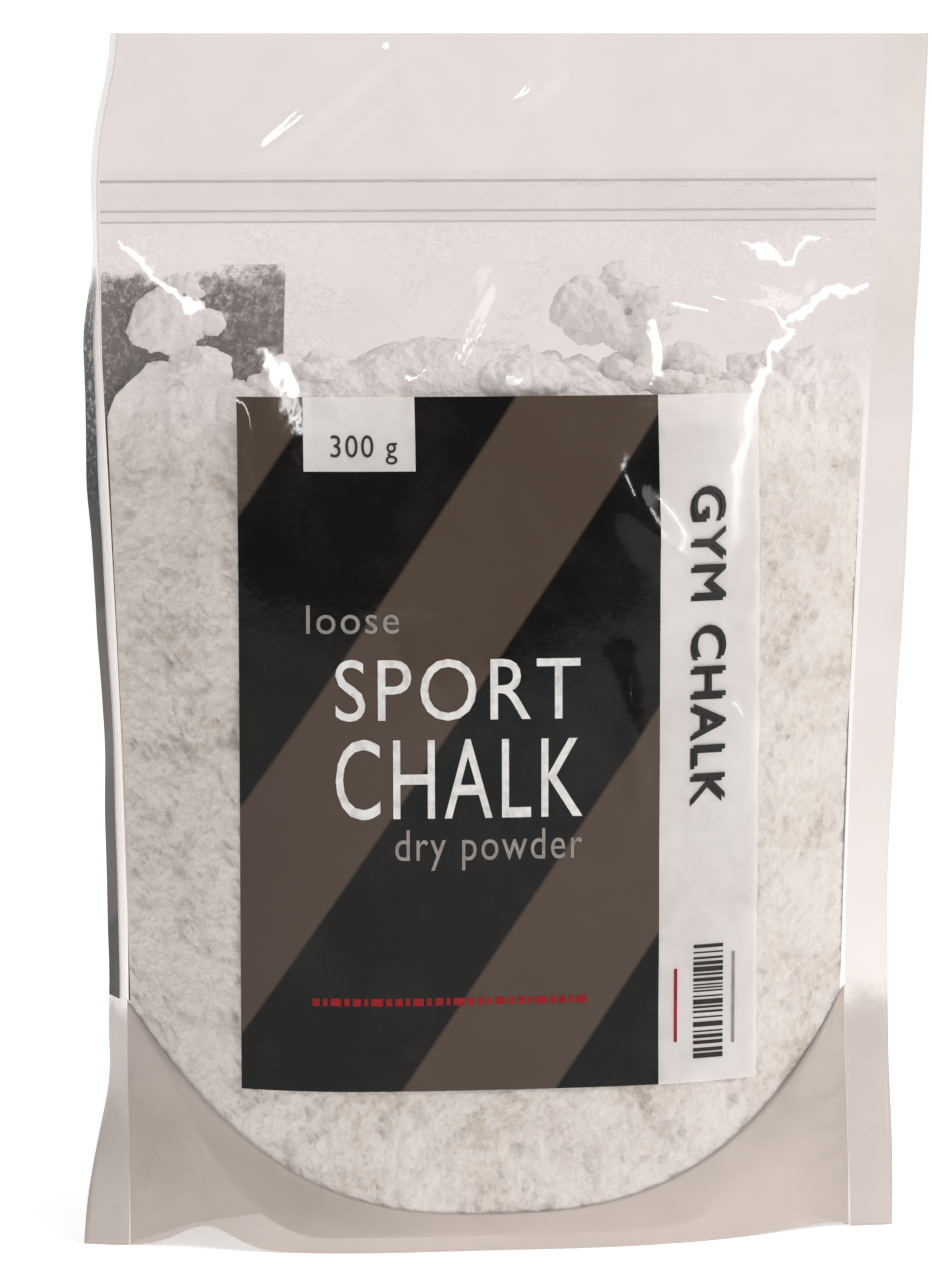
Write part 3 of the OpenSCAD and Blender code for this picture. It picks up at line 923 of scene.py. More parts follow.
@dataclass
class PouchFilm:
    """The front and back panels, the gusset, the side seals and the mouth's films."""

    form: PouchForm
    clear: Material
    welded: Material
    folded: Material
    columns: int = 150

    def build(self) -> list[Piece]:
        """Builds and dresses every film.

        Returns:
            The pieces, in the order in which they were made.
        """
        pieces = [self.panel(side) for side in Side]
        pieces.append(self.gusset())
        pieces += [self.seal(half) for half in Half]
        for side in Side:
            pieces += [self.mouth(side, half) for half in Half]
        return pieces

    def panel(self, side: Side) -> Piece:
        """One panel, from the ground to the fold line of the lips.

        Args:
            side: The film that it is.

        Returns:
            The piece.
        """
        form = self.form
        rows = 170
        u = np.linspace(-1, 1, self.columns)[:, None]
        t = np.linspace(0, 1, rows)[None, :]
        foot = form.rim(form.across(u, 0.0)) if side is Side.FRONT else 0 * u
        z = foot + (form.fold_z - foot) * t
        x = form.across(u, z)
        y = form.film_y(x, z, side)
        points = np.stack([x, y, z], axis=-1)
        name = "front_film" if side is Side.FRONT else "back_film"
        faces = grid_faces(self.columns, rows, side is Side.BACK)
        piece = make_piece(name, points, faces, self.clear)
        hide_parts("front_panel" if side is Side.FRONT else "back_panel")
        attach(piece, "pouch")
        return piece

    def gusset(self) -> Piece:
        """The folded bottom film: up inside the front, across the floor and down inside the back."""
        form = self.form
        flap_rows, floor_rows, cols = 14, 40, 110
        loops = []
        for u in np.linspace(-0.999, 0.999, cols):
            weld = float(form.weld(u))
            x = float(form.across(u, 20 * MM))
            up = np.linspace(float(form.rim(x)) + 0.1 * MM, weld, flap_rows)
            down = np.linspace(weld, 0.1 * MM, flap_rows)
            xs = np.full(flap_rows, x)
            front = form.film_y(xs, up, Side.FRONT, -0.25 * MM)
            back = form.film_y(xs, down, Side.BACK, -0.25 * MM)
            v = np.linspace(-1, 1, floor_rows + 2)[1:-1]
            reach = np.where(v < 0, -front[-1], back[0])
            level = form.floor(u, v) + 0.2 * MM
            loops.append(np.concatenate([
                np.stack([xs, front, up], axis=-1),
                np.stack([np.full(floor_rows, x), v * reach, level], axis=-1),
                np.stack([xs, back, down], axis=-1),
            ]))
        points = np.array(loops)
        piece = make_piece("gusset_film", points, grid_faces(*points.shape[:2]), self.folded)
        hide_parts("bottom_gusset")
        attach(piece, "pouch")
        return piece

    def seal(self, half: Half) -> Piece:
        """One welded side band, waved, and closed except where it joins the panels.

        Args:
            half: The side that it is on.

        Returns:
            The piece.
        """
        form = self.form
        rows, cols = 240, 9
        z = np.linspace(0.0, form.height, rows)[None, :]
        w = np.linspace(0.0, 1.0, cols)[:, None]
        middle = form.seal_place(half, w, z)
        turn = (form.lean(z) if half is Half.LEFT else 0 * z) + 0 * w
        across = form.film_t / 2 * np.stack([np.sin(turn), np.cos(turn), 0 * turn], axis=-1)
        near, far = middle - across, middle + across
        count = cols * rows
        flip = half is Half.LEFT
        faces = grid_faces(cols, rows, flip)
        faces += [tuple(count + i for i in f) for f in grid_faces(cols, rows, not flip)]
        edge = [i * rows + rows - 1 for i in range(cols)]
        edge += [(cols - 1) * rows + j for j in range(rows - 2, -1, -1)]
        edge += [i * rows for i in range(cols - 2, -1, -1)]
        for a, b in zip(edge, edge[1:], strict=False):
            faces.append((a, b, count + b, count + a) if not flip else (b, a, count + a, count + b))
        name = f"{half.name.lower()}_seal_band"
        points = np.concatenate([near.reshape(-1, 3), far.reshape(-1, 3)])
        piece = make_piece(name, points, faces, self.welded)
        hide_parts(f"{half.name.lower()}_side_seal")
        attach(piece, "pouch")
        return piece

    def mouth(self, side: Side, half: Half) -> Piece:
        """Half of one lip, from the side seal to the middle.

        Args:
            side: The lip.
            half: The half of the mouth.

        Returns:
            The piece.
        """
        form = self.form
        cols, rows = 80, 90
        u = np.linspace(0, half.value, cols)[:, None]
        z = np.linspace(form.fold_z, form.height, rows)[None, :] + 0 * u
        x = form.across(u, z) + (1 - np.abs(u)) * (-form.mouth_drift - form.drift(z))
        y = form.film_y(x, z, side)
        points = np.stack([x, y, z], axis=-1)
        name = f"{side.name.lower()}_mouth_{half.name.lower()}"
        flip = (side is Side.BACK) == (half is Half.RIGHT)
        piece = make_piece(name, points, grid_faces(cols, rows, flip), self.clear)
        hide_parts("front_lip" if side is Side.FRONT else "back_lip")
        bend_mouth(piece)
        return piece


def bend_mouth(piece: Piece) -> None:
    """Bakes the placement of a piece of the mouth into its mesh.

    Args:
        piece: A mesh with no parent.
    """
    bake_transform(piece)


@dataclass
class Zipper:
    """The groove on the front lip and the rib on the back one, each in two halves."""

    form: PouchForm
    finish: Material
    rib_t: float = 1.0 * MM
    rib_clear: float = 0.3 * MM
    jaw_t: float = 0.5 * MM
    rib_short: float = 0.3 * MM

    def build(self) -> list[Piece]:
        """Builds and dresses both strips."""
        return [self.strip(side, half) for side in Side for half in Half]

    def outline(self, side: Side) -> list[Pair]:
        """The strip's section as distance inwards from its own film and height.

        Args:
            side: The lip that it is on.

        Returns:
            The corners of the section, from the bottom up.
        """
        low, high = self.form.zip_z, self.form.zip_top
        middle = (low + high) / 2 - 1 * MM
        deep = self.form.flange_t
        reach = 2 * self.form.zip_gap_half - self.rib_short + deep
        if side is Side.BACK:
            r = self.rib_t / 2
            turns = np.linspace(-1.57, 1.57, 7)
            tip = [(reach - r + r * math.cos(a), middle + r * math.sin(a)) for a in turns]
            start = [(0, low), (deep, low), (deep, middle - r)]
            return [*start, *tip, (deep, middle + r), (deep, high), (0, high)]
        gap = self.rib_t / 2 + self.rib_clear
        outer = gap + self.jaw_t
        return [
            (0, low), (deep, low),
            (deep, middle - outer), (reach, middle - outer), (reach, middle - gap), (deep, middle - gap),
            (deep, middle + gap), (reach, middle + gap), (reach, middle + outer), (deep, middle + outer),
            (deep, high), (0, high),
        ]

    def strip(self, side: Side, half: Half) -> Piece:
        """Half of one strip, one skin deep, crushed flat into the side seal at its end.

        Args:
            side: The lip that it is on.
            half: The half of the mouth.

        Returns:
            The piece.
        """
        form = self.form
        outline = self.outline(side)
        n, cols = len(outline), 60
        points = []
        for u in np.linspace(0, half.value * 0.992, cols):
            x = u * form.chamber_half - form.mouth_drift
            crush = 1 - 0.75 * float(ease((abs(u) - 0.93) / 0.06))
            for inward, z in outline:
                film = form.smooth_depth(np.array(x), np.array(z)) * side.value
                sway = float(form.sway(np.array(x), np.array(z)))
                y = float(film) - side.value * (inward * crush + 0.02 * MM) + sway
                points.append((x, y, z))
        faces = []
        flip = (side is Side.BACK) == (half is Half.RIGHT)
        for i in range(cols - 1):
            for j in range(n - 1):
                a, b = i * n + j, i * n + j + 1
                faces.append((a, b, b + n, a + n) if flip else (a, a + n, b + n, b))
        node = "groove_strip" if side is Side.FRONT else "rib_strip"
        piece = make_piece(f"{node}_{half.name.lower()}", np.array(points), faces, self.finish)
        piece.data.shade_flat()
        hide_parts(node)
        bend_mouth(piece)
        return piece


@dataclass
class FrontLabel:
    """The printed label: dark print, a cut-out with the weight, and a pale strip."""

    form: PouchForm
    print_finish: Material
    pale: Material
    white_ink: Material
    grey_ink: Material
    black_ink: Material
    red_ink: Material
    lift: float = 0.25 * MM
    strip_x: float = 30.8 * MM
    window_x0: float = -44.7 * MM
    window_x1: float = -21.2 * MM
    window_h: float = 15.5 * MM
    letter_lift: float = 0.16 * MM
    mark_lift: float = 0.1 * MM
    cell: float = 1.5 * MM

    def build(self) -> list[Piece]:
        """Builds and dresses the label and everything printed on it."""
        low, high = corners("front_label")
        self.x0, self.x1 = float(low[0]), float(high[0])
        self.z0, self.z1 = float(low[2]), float(high[2])
        pieces = self.sheets()
        pieces += self.lettering()
        pieces += self.bars()
        return pieces

    def finish_piece(self, piece: Piece) -> Piece:
        """Puts a printed piece on the pouch's body.

        Args:
            piece: The piece.

        Returns:
            The same piece.
        """
        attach(piece, "pouch")
        return piece

    def sheets(self) -> list[Piece]:
        """The dark print, the pale window in it and the pale strip beside it."""
        window_edges = (self.window_x0, 14), (self.window_x1, 22)
        xs = between((self.x0, 0), *window_edges, (self.strip_x, 44), (self.x1, 22))
        zs = between((self.z0, 0), (self.z1 - self.window_h, 110), (self.z1, 16))
        x, z = np.meshgrid(xs, zs, indexing="ij")
        y = self.form.film_y(x, z, Side.FRONT, self.lift)
        points = np.stack([x, y, z], axis=-1)
        mid_x = ((xs[1:] + xs[:-1]) / 2)[:, None]
        mid_z = ((zs[1:] + zs[:-1]) / 2)[None, :]
        strip = (mid_x > self.strip_x) & (mid_z > 0)
        window = (mid_x > self.window_x0) & (mid_x < self.window_x1) & (mid_z > self.z1 - self.window_h)
        pieces = []
        parts = [
            ("label_dark_print", ~(strip | window), self.print_finish),
            ("label_window", window, self.pale),
            ("label_pale_strip", strip, self.pale),
        ]
        for name, keep, finish in parts:
            used, faces = trim(points, grid_faces(len(xs), len(zs), False, keep))
            piece = make_piece(name, used, faces, finish)
            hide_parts("front_label")
            pieces.append(self.finish_piece(piece))
        return pieces

    def on_label(self, x: Array, z: Array, lift: float) -> Array:
        """Points on the label's face, lifted off it by the given amount."""
        return np.stack([x, self.form.film_y(x, z, Side.FRONT, self.lift + lift), z], axis=-1)

    def lettering(self) -> list[Piece]:
        """Plain words for the contents: a weight, a title with small words round it, and a side line."""
        s = self
        strip_place, strip_size, bold = (37.5 * MM, 164 * MM), (68 * MM, 7.2 * MM), 0.7 * MM
        return [
            s.words("weight", "300 g", (-39 * MM, 171.5 * MM), (14 * MM, 4.6 * MM), s.black_ink),
            s.words("small_word", "loose", (-44.5 * MM, 134.5 * MM), (19.5 * MM, 6 * MM), s.grey_ink),
            s.words("first_word", "SPORT", (-38.5 * MM, 116 * MM), (52 * MM, 13 * MM), s.white_ink),
            s.words("second_word", "CHALK", (-38.5 * MM, 95 * MM), (52.5 * MM, 17 * MM), s.white_ink),
            s.words("last_words", "dry powder", (-26 * MM, 86 * MM), (40 * MM, 6.6 * MM), s.grey_ink),
            s.words("strip_words", "GYM CHALK", strip_place, strip_size, s.black_ink, True, bold),
        ]

    def words(
        self,
        name: str,
        text: str,
        place: Pair,
        size: Pair,
        ink: Material,
        down: bool = False,
        bold: float = 0.0,
    ) -> Piece:
        """A line of lettering laid on the label.

        Args:
            name: The piece's name.
            text: What it says.
            place: The x and z where it starts: its left end, or its upper end where it runs down.
            size: Its length, and the height of its tallest letter.
            ink: Its material.
            down: Whether it reads from the top down.
            bold: How far a second pass of ink is moved, which makes the strokes bolder.

        Returns:
            The piece.
        """
        curve = bpy.data.curves.new("letters_" + name, "FONT")
        curve.body = text
        curve.resolution_u = 4
        curve.space_character = 1.12
        letters = bpy.data.objects.new("letters_" + name, curve)
        bpy.context.scene.collection.objects.link(letters)
        bpy.context.view_layer.update()
        graph = bpy.context.evaluated_depsgraph_get()
        mesh = bpy.data.meshes.new_from_object(letters.evaluated_get(graph))
        bpy.data.objects.remove(letters)
        bpy.data.curves.remove(curve)
        flat = np.array([v.co for v in mesh.vertices])
        faces = [tuple(p.vertices) for p in mesh.polygons]
        bpy.data.meshes.remove(mesh)
        along = (flat[:, 0] - flat[:, 0].min()) * size[0] / np.ptp(flat[:, 0])
        up = flat[:, 1] * size[1] / flat[:, 1].max()
        x, z = place
        if down:
            points = self.on_label(x + up, z - along, self.letter_lift)
        else:
            points = self.on_label(x + along, z + up, self.letter_lift)
        a, b, c = (points[i] for i in faces[0][:3])
        if np.cross(b - a, c - a)[1] > 0:
            faces = [f[::-1] for f in faces]
        if bold:
            count = len(points)
            points = np.concatenate([points, points + np.array([bold, -0.03 * MM, bold])])
            faces += [tuple(i + count for i in f) for f in faces]
        return self.finish_piece(make_piece("label_" + name, points, faces, ink))

    def patch(self, x0: float, x1: float, z0: float, z1: float, start: int) -> tuple[Array, Faces]:
        """A small rectangle of print, cut fine enough to follow the label.

        Args:
            x0: Left edge.
            x1: Right edge.
            z0: Lower edge.
            z1: Upper edge.
            start: Index of its first point.

        Returns:
            Its points and faces.
        """
        cols = max(2, int(abs(x1 - x0) / self.cell) + 2)
        rows = max(2, int(abs(z1 - z0) / self.cell) + 2)
        x, z = np.meshgrid(np.linspace(x0, x1, cols), np.linspace(z0, z1, rows), indexing="ij")
        points = self.on_label(x, z, self.mark_lift).reshape(-1, 3)
        faces = [tuple(start + i for i in f) for f in grid_faces(cols, rows)]
        return points, faces

    def marks(self, name: str, patches: list[tuple[float, ...]], ink: Material) -> Piece:
        """One piece made of several rectangles of print.

        Args:
            name: The piece's name.
            patches: Left, right, lower and upper edge of each.
            ink: Its material.

        Returns:
            The piece.
        """
        points, faces, count = [], [], 0
        for x0, x1, z0, z1 in patches:
            p, f = self.patch(x0, x1, z0, z1, count)
            points.append(p)
            faces += f
            count += len(p)
        return self.finish_piece(make_piece(name, np.concatenate(points), faces, ink))

    def bars(self) -> list[Piece]:
        """A red rule on the dark print, and a plain bar pattern with two fine rules on the strip."""
        dashes = [1.5, 0.9, 2.2, 1.1, 1.7, 0.8, 2.4, 1.3]
        rule, x = [], -43.5 * MM
        while x < 13 * MM:
            long = dashes[len(rule) % len(dashes)] * MM
            rule.append((x, x + long, 54.6 * MM, 56.2 * MM))
            x += long + 0.7 * MM
        rng = np.random.default_rng(5)
        stripes, z = [], 66 * MM
        while z > 41 * MM:
            thick = float(rng.choice([0.35, 0.5, 0.8, 1.1])) * MM
            stripes.append((38.5 * MM, 45.2 * MM, z - thick, z))
            z -= thick + float(rng.choice([0.35, 0.5, 0.8])) * MM
        fine = [(47.2 * MM, 47.9 * MM, 44 * MM, 64 * MM)]
        red = [(34.2 * MM, 34.9 * MM, 45 * MM, 61 * MM)]
        return [
            self.marks("label_red_rule", rule, self.red_ink),
            self.marks("label_bar_pattern", stripes, self.black_ink),
            self.marks("label_fine_rule", fine, self.grey_ink),
            self.marks("label_strip_red_rule", red, self.red_ink),
        ]


@dataclass
class BackLabel:
    """The dark label on the back, which wraps round the folded left seal."""

    form: PouchForm
    finish: Material
    lift: float = 0.2 * MM
    top: float = 211 * MM

    def build(self) -> list[Piece]:
        """Builds and dresses the label: on the panel, on the seal and on the lip above."""
        low, high = corners("back_label")
        self.bottom, self.side = float(low[2]), float(high[0])
        fold_z = self.form.fold_z
        return [self.on_film(self.bottom, fold_z), self.on_film(fold_z, self.top), self.on_seal()]

    def on_film(self, start: float, end: float) -> Piece:
        """The part between two heights that lies on the back film.

        Args:
            start: Its lower edge.
            end: Its upper edge.

        Returns:
            The piece.
        """
        form = self.form
        upper = end > form.fold_z
        cols, rows = 40, 30 if upper else 110
        zs = np.linspace(start, end, rows)[None, :]
        t = np.linspace(0, 1, cols)[:, None]
        left = form.across(-0.995, zs)
        x = left + (self.side - left) * t
        z = zs + 0 * t
        y = form.film_y(x, z, Side.BACK, self.lift)
        name = "back_label_upper" if upper else "back_label_print"
        piece = make_piece(name, np.stack([x, y, z], axis=-1), grid_faces(cols, rows, True), self.finish)
        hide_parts("back_label")
        if upper:
            bend_mouth(piece)
        else:
            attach(piece, "pouch")
        return piece

    def on_seal(self) -> Piece:
        """The part that is folded round onto the outer side of the left seal."""
        form = self.form
        cols, rows = 8, 150
        z = np.linspace(self.bottom, self.top, rows)[None, :]
        w = np.linspace(0.35, 0.97, cols)[:, None]
        middle = form.seal_place(Half.LEFT, w, z)
        turn = form.lean(z) + 0 * w
        off = form.film_t / 2 + self.lift
        points = middle - off * np.stack([np.sin(turn), np.cos(turn), 0 * turn], axis=-1)
        piece = make_piece("back_label_wrap", points, grid_faces(cols, rows, True), self.finish)
        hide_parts("back_label")
        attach(piece, "pouch")
        return piece


@dataclass
class ChalkBed:
    """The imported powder, which fills the pouch to just under the fold of the lips."""

    form: PouchForm
    finish: Material
    noise: Noise = field(default_factory=lambda: Noise(23))
    columns: int = 190

    def build(self) -> list[Piece]:
        """Builds and dresses the bed."""
        form = self.form
        fill = float(corners("chalk_powder")[1][2])
        walls, floor_n, top_n = 190, 36, 46
        loops = []
        for u in np.linspace(-0.99, 0.985, self.columns):
            weld = float(form.weld(u)) + 0.5 * MM
            x0 = float(form.across(u, 20 * MM))
            brow = fill - 2.5 * MM * max(0.0, (abs(u) - 0.93) / 0.06) ** 2
            z = np.linspace(weld, brow, walls)
            x = form.across(u, z)
            front = self.wall(x, z, Side.FRONT, fill)
            back = self.wall(x, z, Side.BACK, fill)
            v = np.linspace(-1, 1, floor_n + 2)[1:-1]
            reach = np.where(v < 0, -front[0], back[0])
            base = np.stack([np.full(floor_n, x0), v * reach, form.floor(u, v * 0.97) + 0.7 * MM], axis=-1)
            w = np.linspace(1, -1, top_n + 2)[1:-1]
            depth = np.where(w < 0, -front[-1], back[-1])
            top = np.stack([np.full(top_n, x[-1]), w * depth, np.full(top_n, brow)], axis=-1)
            knobs = 0.5 - np.abs(self.noise.layered(top, 6 * MM, 5))
            heap = self.crest(float(x[-1])) + 4 * MM * self.noise.layered(top, 16 * MM, 2) + 5 * MM * knobs
            top[:, 2] += np.maximum(heap, 0.5 * MM) * (1 - np.abs(w) ** 5) * (1 - abs(u) ** 30)
            loops.append(np.concatenate([
                base,
                np.stack([x, back, z], axis=-1),
                top,
                np.stack([x, front, z], axis=-1)[::-1],
            ]))
        points = np.array(loops)
        cols, n = points.shape[:2]
        faces = []
        for i in range(cols - 1):
            for j in range(n):
                a, b = i * n + j, i * n + (j + 1) % n
                faces.append((a, a + n, b + n, b))
        ends = np.array([points[0].mean(0), points[-1].mean(0)])
        first, last = cols * n, cols * n + 1
        for j in range(n):
            k = (j + 1) % n
            faces.append((first, j, k))
            faces.append((last, (cols - 1) * n + k, (cols - 1) * n + j))
        piece = make_piece("chalk_bed", np.concatenate([points.reshape(-1, 3), ends]), faces, self.finish)
        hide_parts("chalk_powder")
        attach(piece, "pouch")
        return [piece]

    def crest(self, x: float) -> float:
        """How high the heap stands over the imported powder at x: most at the left of the middle."""
        humps = ((-14, 34, 10), (70, 14, 9), (-76, 9, 5))
        return (2 + sum(rise * math.exp(-(((x / MM - at) / wide) ** 2)) for at, wide, rise in humps)) * MM

    def wall(self, x: Array, z: Array, side: Side, fill: float) -> Array:
        """The y of the chalk's face against one film: pressed flat, with cracks and pits.

        Args:
            x: Places across the pouch.
            z: Heights, in an array of the same shape.
            side: The film that it presses on.
            fill: Height of the bed's top.

        Returns:
            The y of each place.
        """
        form = self.form
        here = np.stack([x, np.full(np.shape(x), 0.17 * side.value), z], axis=-1)
        pits = np.clip(self.noise.layered(here, 4 * MM, 4) - 0.16, 0, None) * 3.5 * MM
        cracks = np.clip(0.07 - np.abs(self.noise.layered(here, 15 * MM, 4)), 0, None) * 12 * MM
        grain = 0.35 * MM * self.noise.layered(here, 1.8 * MM, 2)
        loose = ease((z - fill + 22 * MM) / (22 * MM))
        slack = loose * (1.2 * MM + 3.5 * MM * np.clip(self.noise.layered(here, 9 * MM, 3), 0, None))
        brow = 2.5 * MM * ease((z - fill + 4 * MM) / (4 * MM)) ** 2
        inside = form.smooth_depth(x, z) + np.minimum(form.wrinkles(x, z, side), 0.4 * MM)
        away = inside - 0.35 * MM - pits - cracks - np.abs(grain) - slack - brow
        return side.value * np.clip(away, 0.3 * MM, None)


@dataclass
class Lump:
    """One broken piece of chalk: a crumbly cluster of rounded knobs."""

    node: str
    body: str
    finish: Material
    noise: Noise
    seed: int
    swell: Triple = (1.0, 1.0, 1.0)
    knobs: int = 60
    voxel: float = 0.5 * MM
    ruffle: float = 1.1 * MM

    def build(self) -> Piece:
        """Builds and dresses the lump.

        Returns:
            The piece, in place of its CAD node.
        """
        low, high = corners(self.node)
        centre, half = (low + high) / 2, (high - low) / 2 * np.array(self.swell)
        rng = np.random.default_rng(self.seed)
        points, faces = [], []
        for k in range(self.knobs):
            way = rng.normal(size=3)
            way /= np.linalg.norm(way)
            spot = way * rng.uniform(0.45, 0.82)
            radius = rng.uniform(0.1, 0.28) if k else 0.7
            p, f = ball(radius, 3)
            points.append((p + spot) * half)
            faces += [tuple(i + k * len(p) for i in g) for g in f]
        piece = make_piece("chalk_" + self.node, np.concatenate(points) + centre, faces, self.finish)
        crumble(piece, self.noise, self.voxel, self.ruffle)
        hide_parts(self.node)
        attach(piece, self.body)
        return piece


def ball(radius: float, detail: int) -> tuple[Array, Faces]:
    """Points and faces of a sphere of even triangles about the origin.

    Args:
        radius: Its radius.
        detail: How finely it is divided.

    Returns:
        The points and the faces.
    """
    shape = bmesh.new()
    bmesh.ops.create_icosphere(shape, subdivisions=detail, radius=radius)
    points = np.array([v.co[:] for v in shape.verts])
    faces = [tuple(v.index for v in f.verts) for f in shape.faces]
    shape.free()
    return points, faces


def crumble(piece: Piece, noise: Noise, voxel: float, depth: float) -> None:
    """Fuses a piece into one skin and roughens it.

    Args:
        piece: A mesh of overlapping closed shapes.
        noise: The noise that shapes it.
        voxel: Size of the cells that it is fused on.
        depth: How far its surface moves.
    """
    remesh = piece.modifiers.new("fuse", "REMESH")
    remesh.mode = "VOXEL"
    remesh.voxel_size = voxel
    remesh.use_smooth_shade = True
    evaluated(piece)
    mesh = piece.data
    co = np.empty(len(mesh.vertices) * 3)
    mesh.vertices.foreach_get("co", co)
    normals = np.empty(len(mesh.vertices) * 3)
    mesh.vertices.foreach_get("normal", normals)
    co, normals = co.reshape(-1, 3), normals.reshape(-1, 3)
    knobs = 1 - 2 * np.abs(noise.layered(co, 4.5 * MM, 4))
    rough = 0.8 * knobs + 0.9 * noise.layered(co, 1.5 * MM, 2)
    co += normals * (rough * depth)[:, None]
    mesh.vertices.foreach_set("co", co.ravel())
    mesh.update()


@dataclass
class LooseChalk:
    """The lumps and crumbs that lie on the bed."""

    form: PouchForm
    finish: Material
    noise: Noise = field(default_factory=lambda: Noise(31))
    crumb_count: int = 150

    def build(self) -> list[Piece]:
        """Builds and dresses every lump and the crumbs."""
        rides = {"left_lump": "left_chunk", "right_lump": "right_chunk", "row_lump_3": "middle_chunk"}
        swells = {
            "left_lump": (1.25, 0.95, 1.3),
            "right_lump": (1.3, 1.0, 1.35),
            "row_lump_1": (0.8, 1.0, 0.95),
        }
        nodes = ["left_lump", "right_lump", *(f"row_lump_{k}" for k in range(1, 7))]
        pieces = []
        for seed, node in enumerate(nodes, 40):
            body = rides.get(node, "pouch")
            swell = swells.get(node, (1.35, 1.0, 1.25))
            pieces.append(Lump(node, body, self.finish, self.noise, seed, swell).build())
        pieces.append(self.crumbs())
        return pieces

    def crumbs(self) -> Piece:
        """Small crumbs scattered over the bed."""
        low, high = corners("crumbs")
        rng = np.random.default_rng(77)
        points, faces, count = [], [], 0
        for _ in range(self.crumb_count):
            x = rng.uniform(low[0], high[0])
            z = low[2] + abs(rng.normal()) * 2 * MM
            room = float(self.form.smooth_depth(np.array(x), np.array(z))) - 3 * MM
            y = rng.uniform(-room, room)
            size = rng.uniform(0.6, 2.2) * MM
            p, f = ball(1.0, 2)
            p = p * size * rng.uniform(0.7, 1.1, 3)
            points.append(p + np.array([x, y, z]))
            faces += [tuple(i + count for i in g) for g in f]
            count += len(p)
        piece = make_piece("chalk_crumbs", np.concatenate(points), faces, self.finish)
        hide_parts("crumbs")
        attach(piece, "pouch")
        return piece


# Studio


@dataclass(frozen=True)
class SoftBox:
    """A rectangular studio light that points at a spot."""

    name: str
    place: Triple
    aim: Triple
    size: Pair
    power: float
    glints_only: bool = False

    def build(self) -> None:
        """Puts the light in the scene."""
        data = bpy.data.lights.new(self.name, "AREA")
        data.shape = "RECTANGLE"
        data.size, data.size_y = self.size
        data.energy = self.power
        lamp = bpy.data.objects.new(self.name, data)
        lamp.location = self.place
        lamp.rotation_euler = (Vector(self.aim) - Vector(self.place)).to_track_quat("-Z", "Y").to_euler()
        lamp.visible_diffuse = not self.glints_only
        bpy.context.scene.collection.objects.link(lamp)


@dataclass
class Studio:
    """Floor, world, lights and camera."""

    world_light: float = 0.32
    distance: float = 1.0
    turn: float = math.radians(-6)
    tilt: float = math.radians(7.5)
    look_x: float = -8.5 * MM
    look_z: float = 130 * MM
    lens: float = 130.2

    def build(self) -> None:
        """Sets the stage."""
        self.camera()
        self.floor()
        self.world()
        for box in (
            SoftBox("key_box", (1.1, -0.9, 1.1), (0, 0, 0.13), (0.8, 0.8), 13.2),
            SoftBox("fill_box", (-1.3, -0.9, 0.5), (0, 0, 0.13), (1.0, 1.0), 0.3),
            SoftBox("top_box", (0.1, -0.1, 1.5), (0, 0, 0.1), (0.9, 0.5), 6.0),
            SoftBox("strip_box", (0.35, -0.9, 0.75), (0, 0, 0.16), (0.045, 0.4), 2.4, glints_only=True),
            SoftBox("side_strip", (0.75, -0.8, 0.35), (0, 0, 0.16), (0.045, 0.35), 2.0, glints_only=True),
            SoftBox("left_strip", (-0.3, -0.95, 0.56), (0, 0, 0.22), (0.035, 0.3), 2.0, glints_only=True),
        ):
            box.build()
        bpy.context.scene.view_settings.view_transform = "Standard"

    def camera(self) -> None:
        """The camera, a little above and to the left of the pouch."""
        data = bpy.data.cameras.new("camera")
        data.lens = self.lens
        data.clip_start = 0.01
        camera = bpy.data.objects.new("camera", data)
        aim = Vector((self.look_x, 0.0, self.look_z))
        flat = math.cos(self.tilt)
        away = Vector((math.sin(self.turn) * flat, -math.cos(self.turn) * flat, math.sin(self.tilt)))
        camera.location = aim + away * self.distance
        camera.rotation_euler = (-away).to_track_quat("-Z", "Y").to_euler()
        bpy.context.scene.collection.objects.link(camera)
        bpy.context.scene.camera = camera

    def floor(self) -> None:
        """A pale floor that curves up into a backdrop."""
        finish = GroundFinish().build()
        ys = between((-2.5, 0), (1.2, 12), (2.2, 16), (2.4, 8))
        zs = np.where(ys > 1.2, 1.6 * ((ys - 1.2) / 1.2) ** 2, 0.0)
        points = [[(x, y, z) for y, z in zip(ys, zs, strict=True)] for x in (-3.0, 3.0)]
        floor = make_piece("floor", np.array(points), grid_faces(2, len(ys)), finish)

    def world(self) -> None:
        """Even pale light from all round."""
        world = bpy.data.worlds.new("studio")
        bpy.context.scene.world = world
        world.use_nodes = True
        background = world.node_tree.nodes["Background"]
        background.inputs["Color"].default_value = (1.0, 0.99, 0.98, 1.0)
        background.inputs["Strength"].default_value = self.world_light


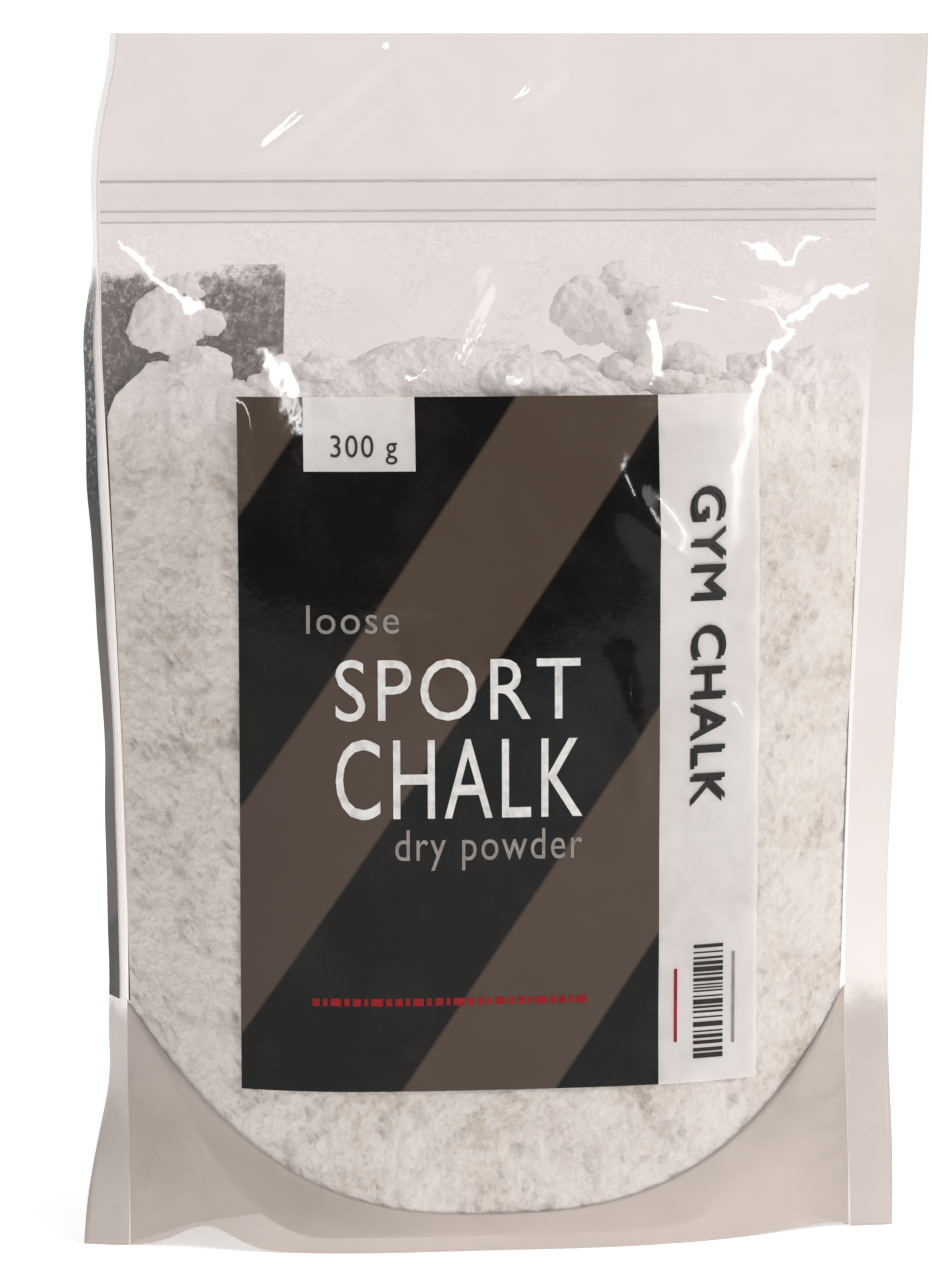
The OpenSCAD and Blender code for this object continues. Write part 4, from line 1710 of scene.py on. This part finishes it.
def main() -> None:
    """Builds every sub-assembly and says what was made."""
    logging.basicConfig(level=logging.INFO, format="%(name)s: %(message)s")
    folds = (
        Fold.line((-4, 209), (-13, 192), 1.6, 1.6),
        Fold.line((-13, 192), (-21, 188), 1.8, 1.2),
        Fold.line((36, 206), (57, 202), 2.2, 1.3),
        Fold.line((-59, 182), (-57, 164), 1.6, 1.2),
        Fold.line((22, 166), (33, 150), 4.5, 1.5),
        Fold.line((22, 128), (27, 96), 2.6, 1.4),
        Fold.line((-22, 132), (-19, 120), 2.6, 1.0),
        Fold.line((46, 116), (60, 108), 4, 1.4),
    )
    header_folds = (
        Fold.line((-56, 231), (-21, 259), 2.6, 1.15),
        Fold.line((-37, 236), (-23, 249), 1.6, 0.68),
        Fold.line((-24, 257), (-17, 240), 1.8, 0.8),
        Fold.line((0, 243), (13, 253), 1.8, 0.8),
    )
    form = PouchForm(folds=folds, header_folds=header_folds)
    Studio().build()
    clear = FilmFinish().build()
    welded = FilmFinish(
        name="welded_film", tint=(0.905, 0.875, 0.86), head_tint=(0.905, 0.875, 0.86),
        haze=0.12, head_haze=0.16, foot_haze=0.62, foot_z=52 * MM, roughness=0.1, dust=0.0,
        haze_colour=(0.62, 0.555, 0.51), blush=(0.66, 0.59, 0.55),
    ).build()
    folded = FilmFinish(
        name="folded_film", tint=(0.915, 0.885, 0.865), haze=0.03, foot_haze=0.72, foot_z=15 * MM,
        foot_climb=44 * MM, roughness=0.15, dust=0.0,
        haze_colour=(0.62, 0.555, 0.51), blush=(0.66, 0.59, 0.55),
    ).build()
    chalk = ChalkFinish().build()
    pale = PaleFilmFinish().build()
    assemblies = {
        "chalk bed": ChalkBed(form, chalk),
        "loose chalk": LooseChalk(form, chalk),
        "film": PouchFilm(form, clear, welded, folded),
        "zipper": Zipper(form, ZipperFinish().build()),
        "front label": FrontLabel(
            form,
            LabelFinish().build(),
            pale,
            InkFinish("white_ink", (0.76, 0.74, 0.72)).build(),
            InkFinish("grey_ink", (0.30, 0.27, 0.25)).build(),
            InkFinish("black_ink", (0.03, 0.027, 0.025)).build(),
            InkFinish("red_ink", (0.30, 0.008, 0.012)).build(),
        ),
        "back label": BackLabel(form, LabelFinish(name="back_print", pitch=90 * MM, worn_z=209 * MM).build()),
    }
    for title, assembly in assemblies.items():
        for piece in assembly.build():
            LOG.info("%s: %s, %d points", title, piece.name, len(piece.data.vertices))


if __name__ == "__main__":
    main()
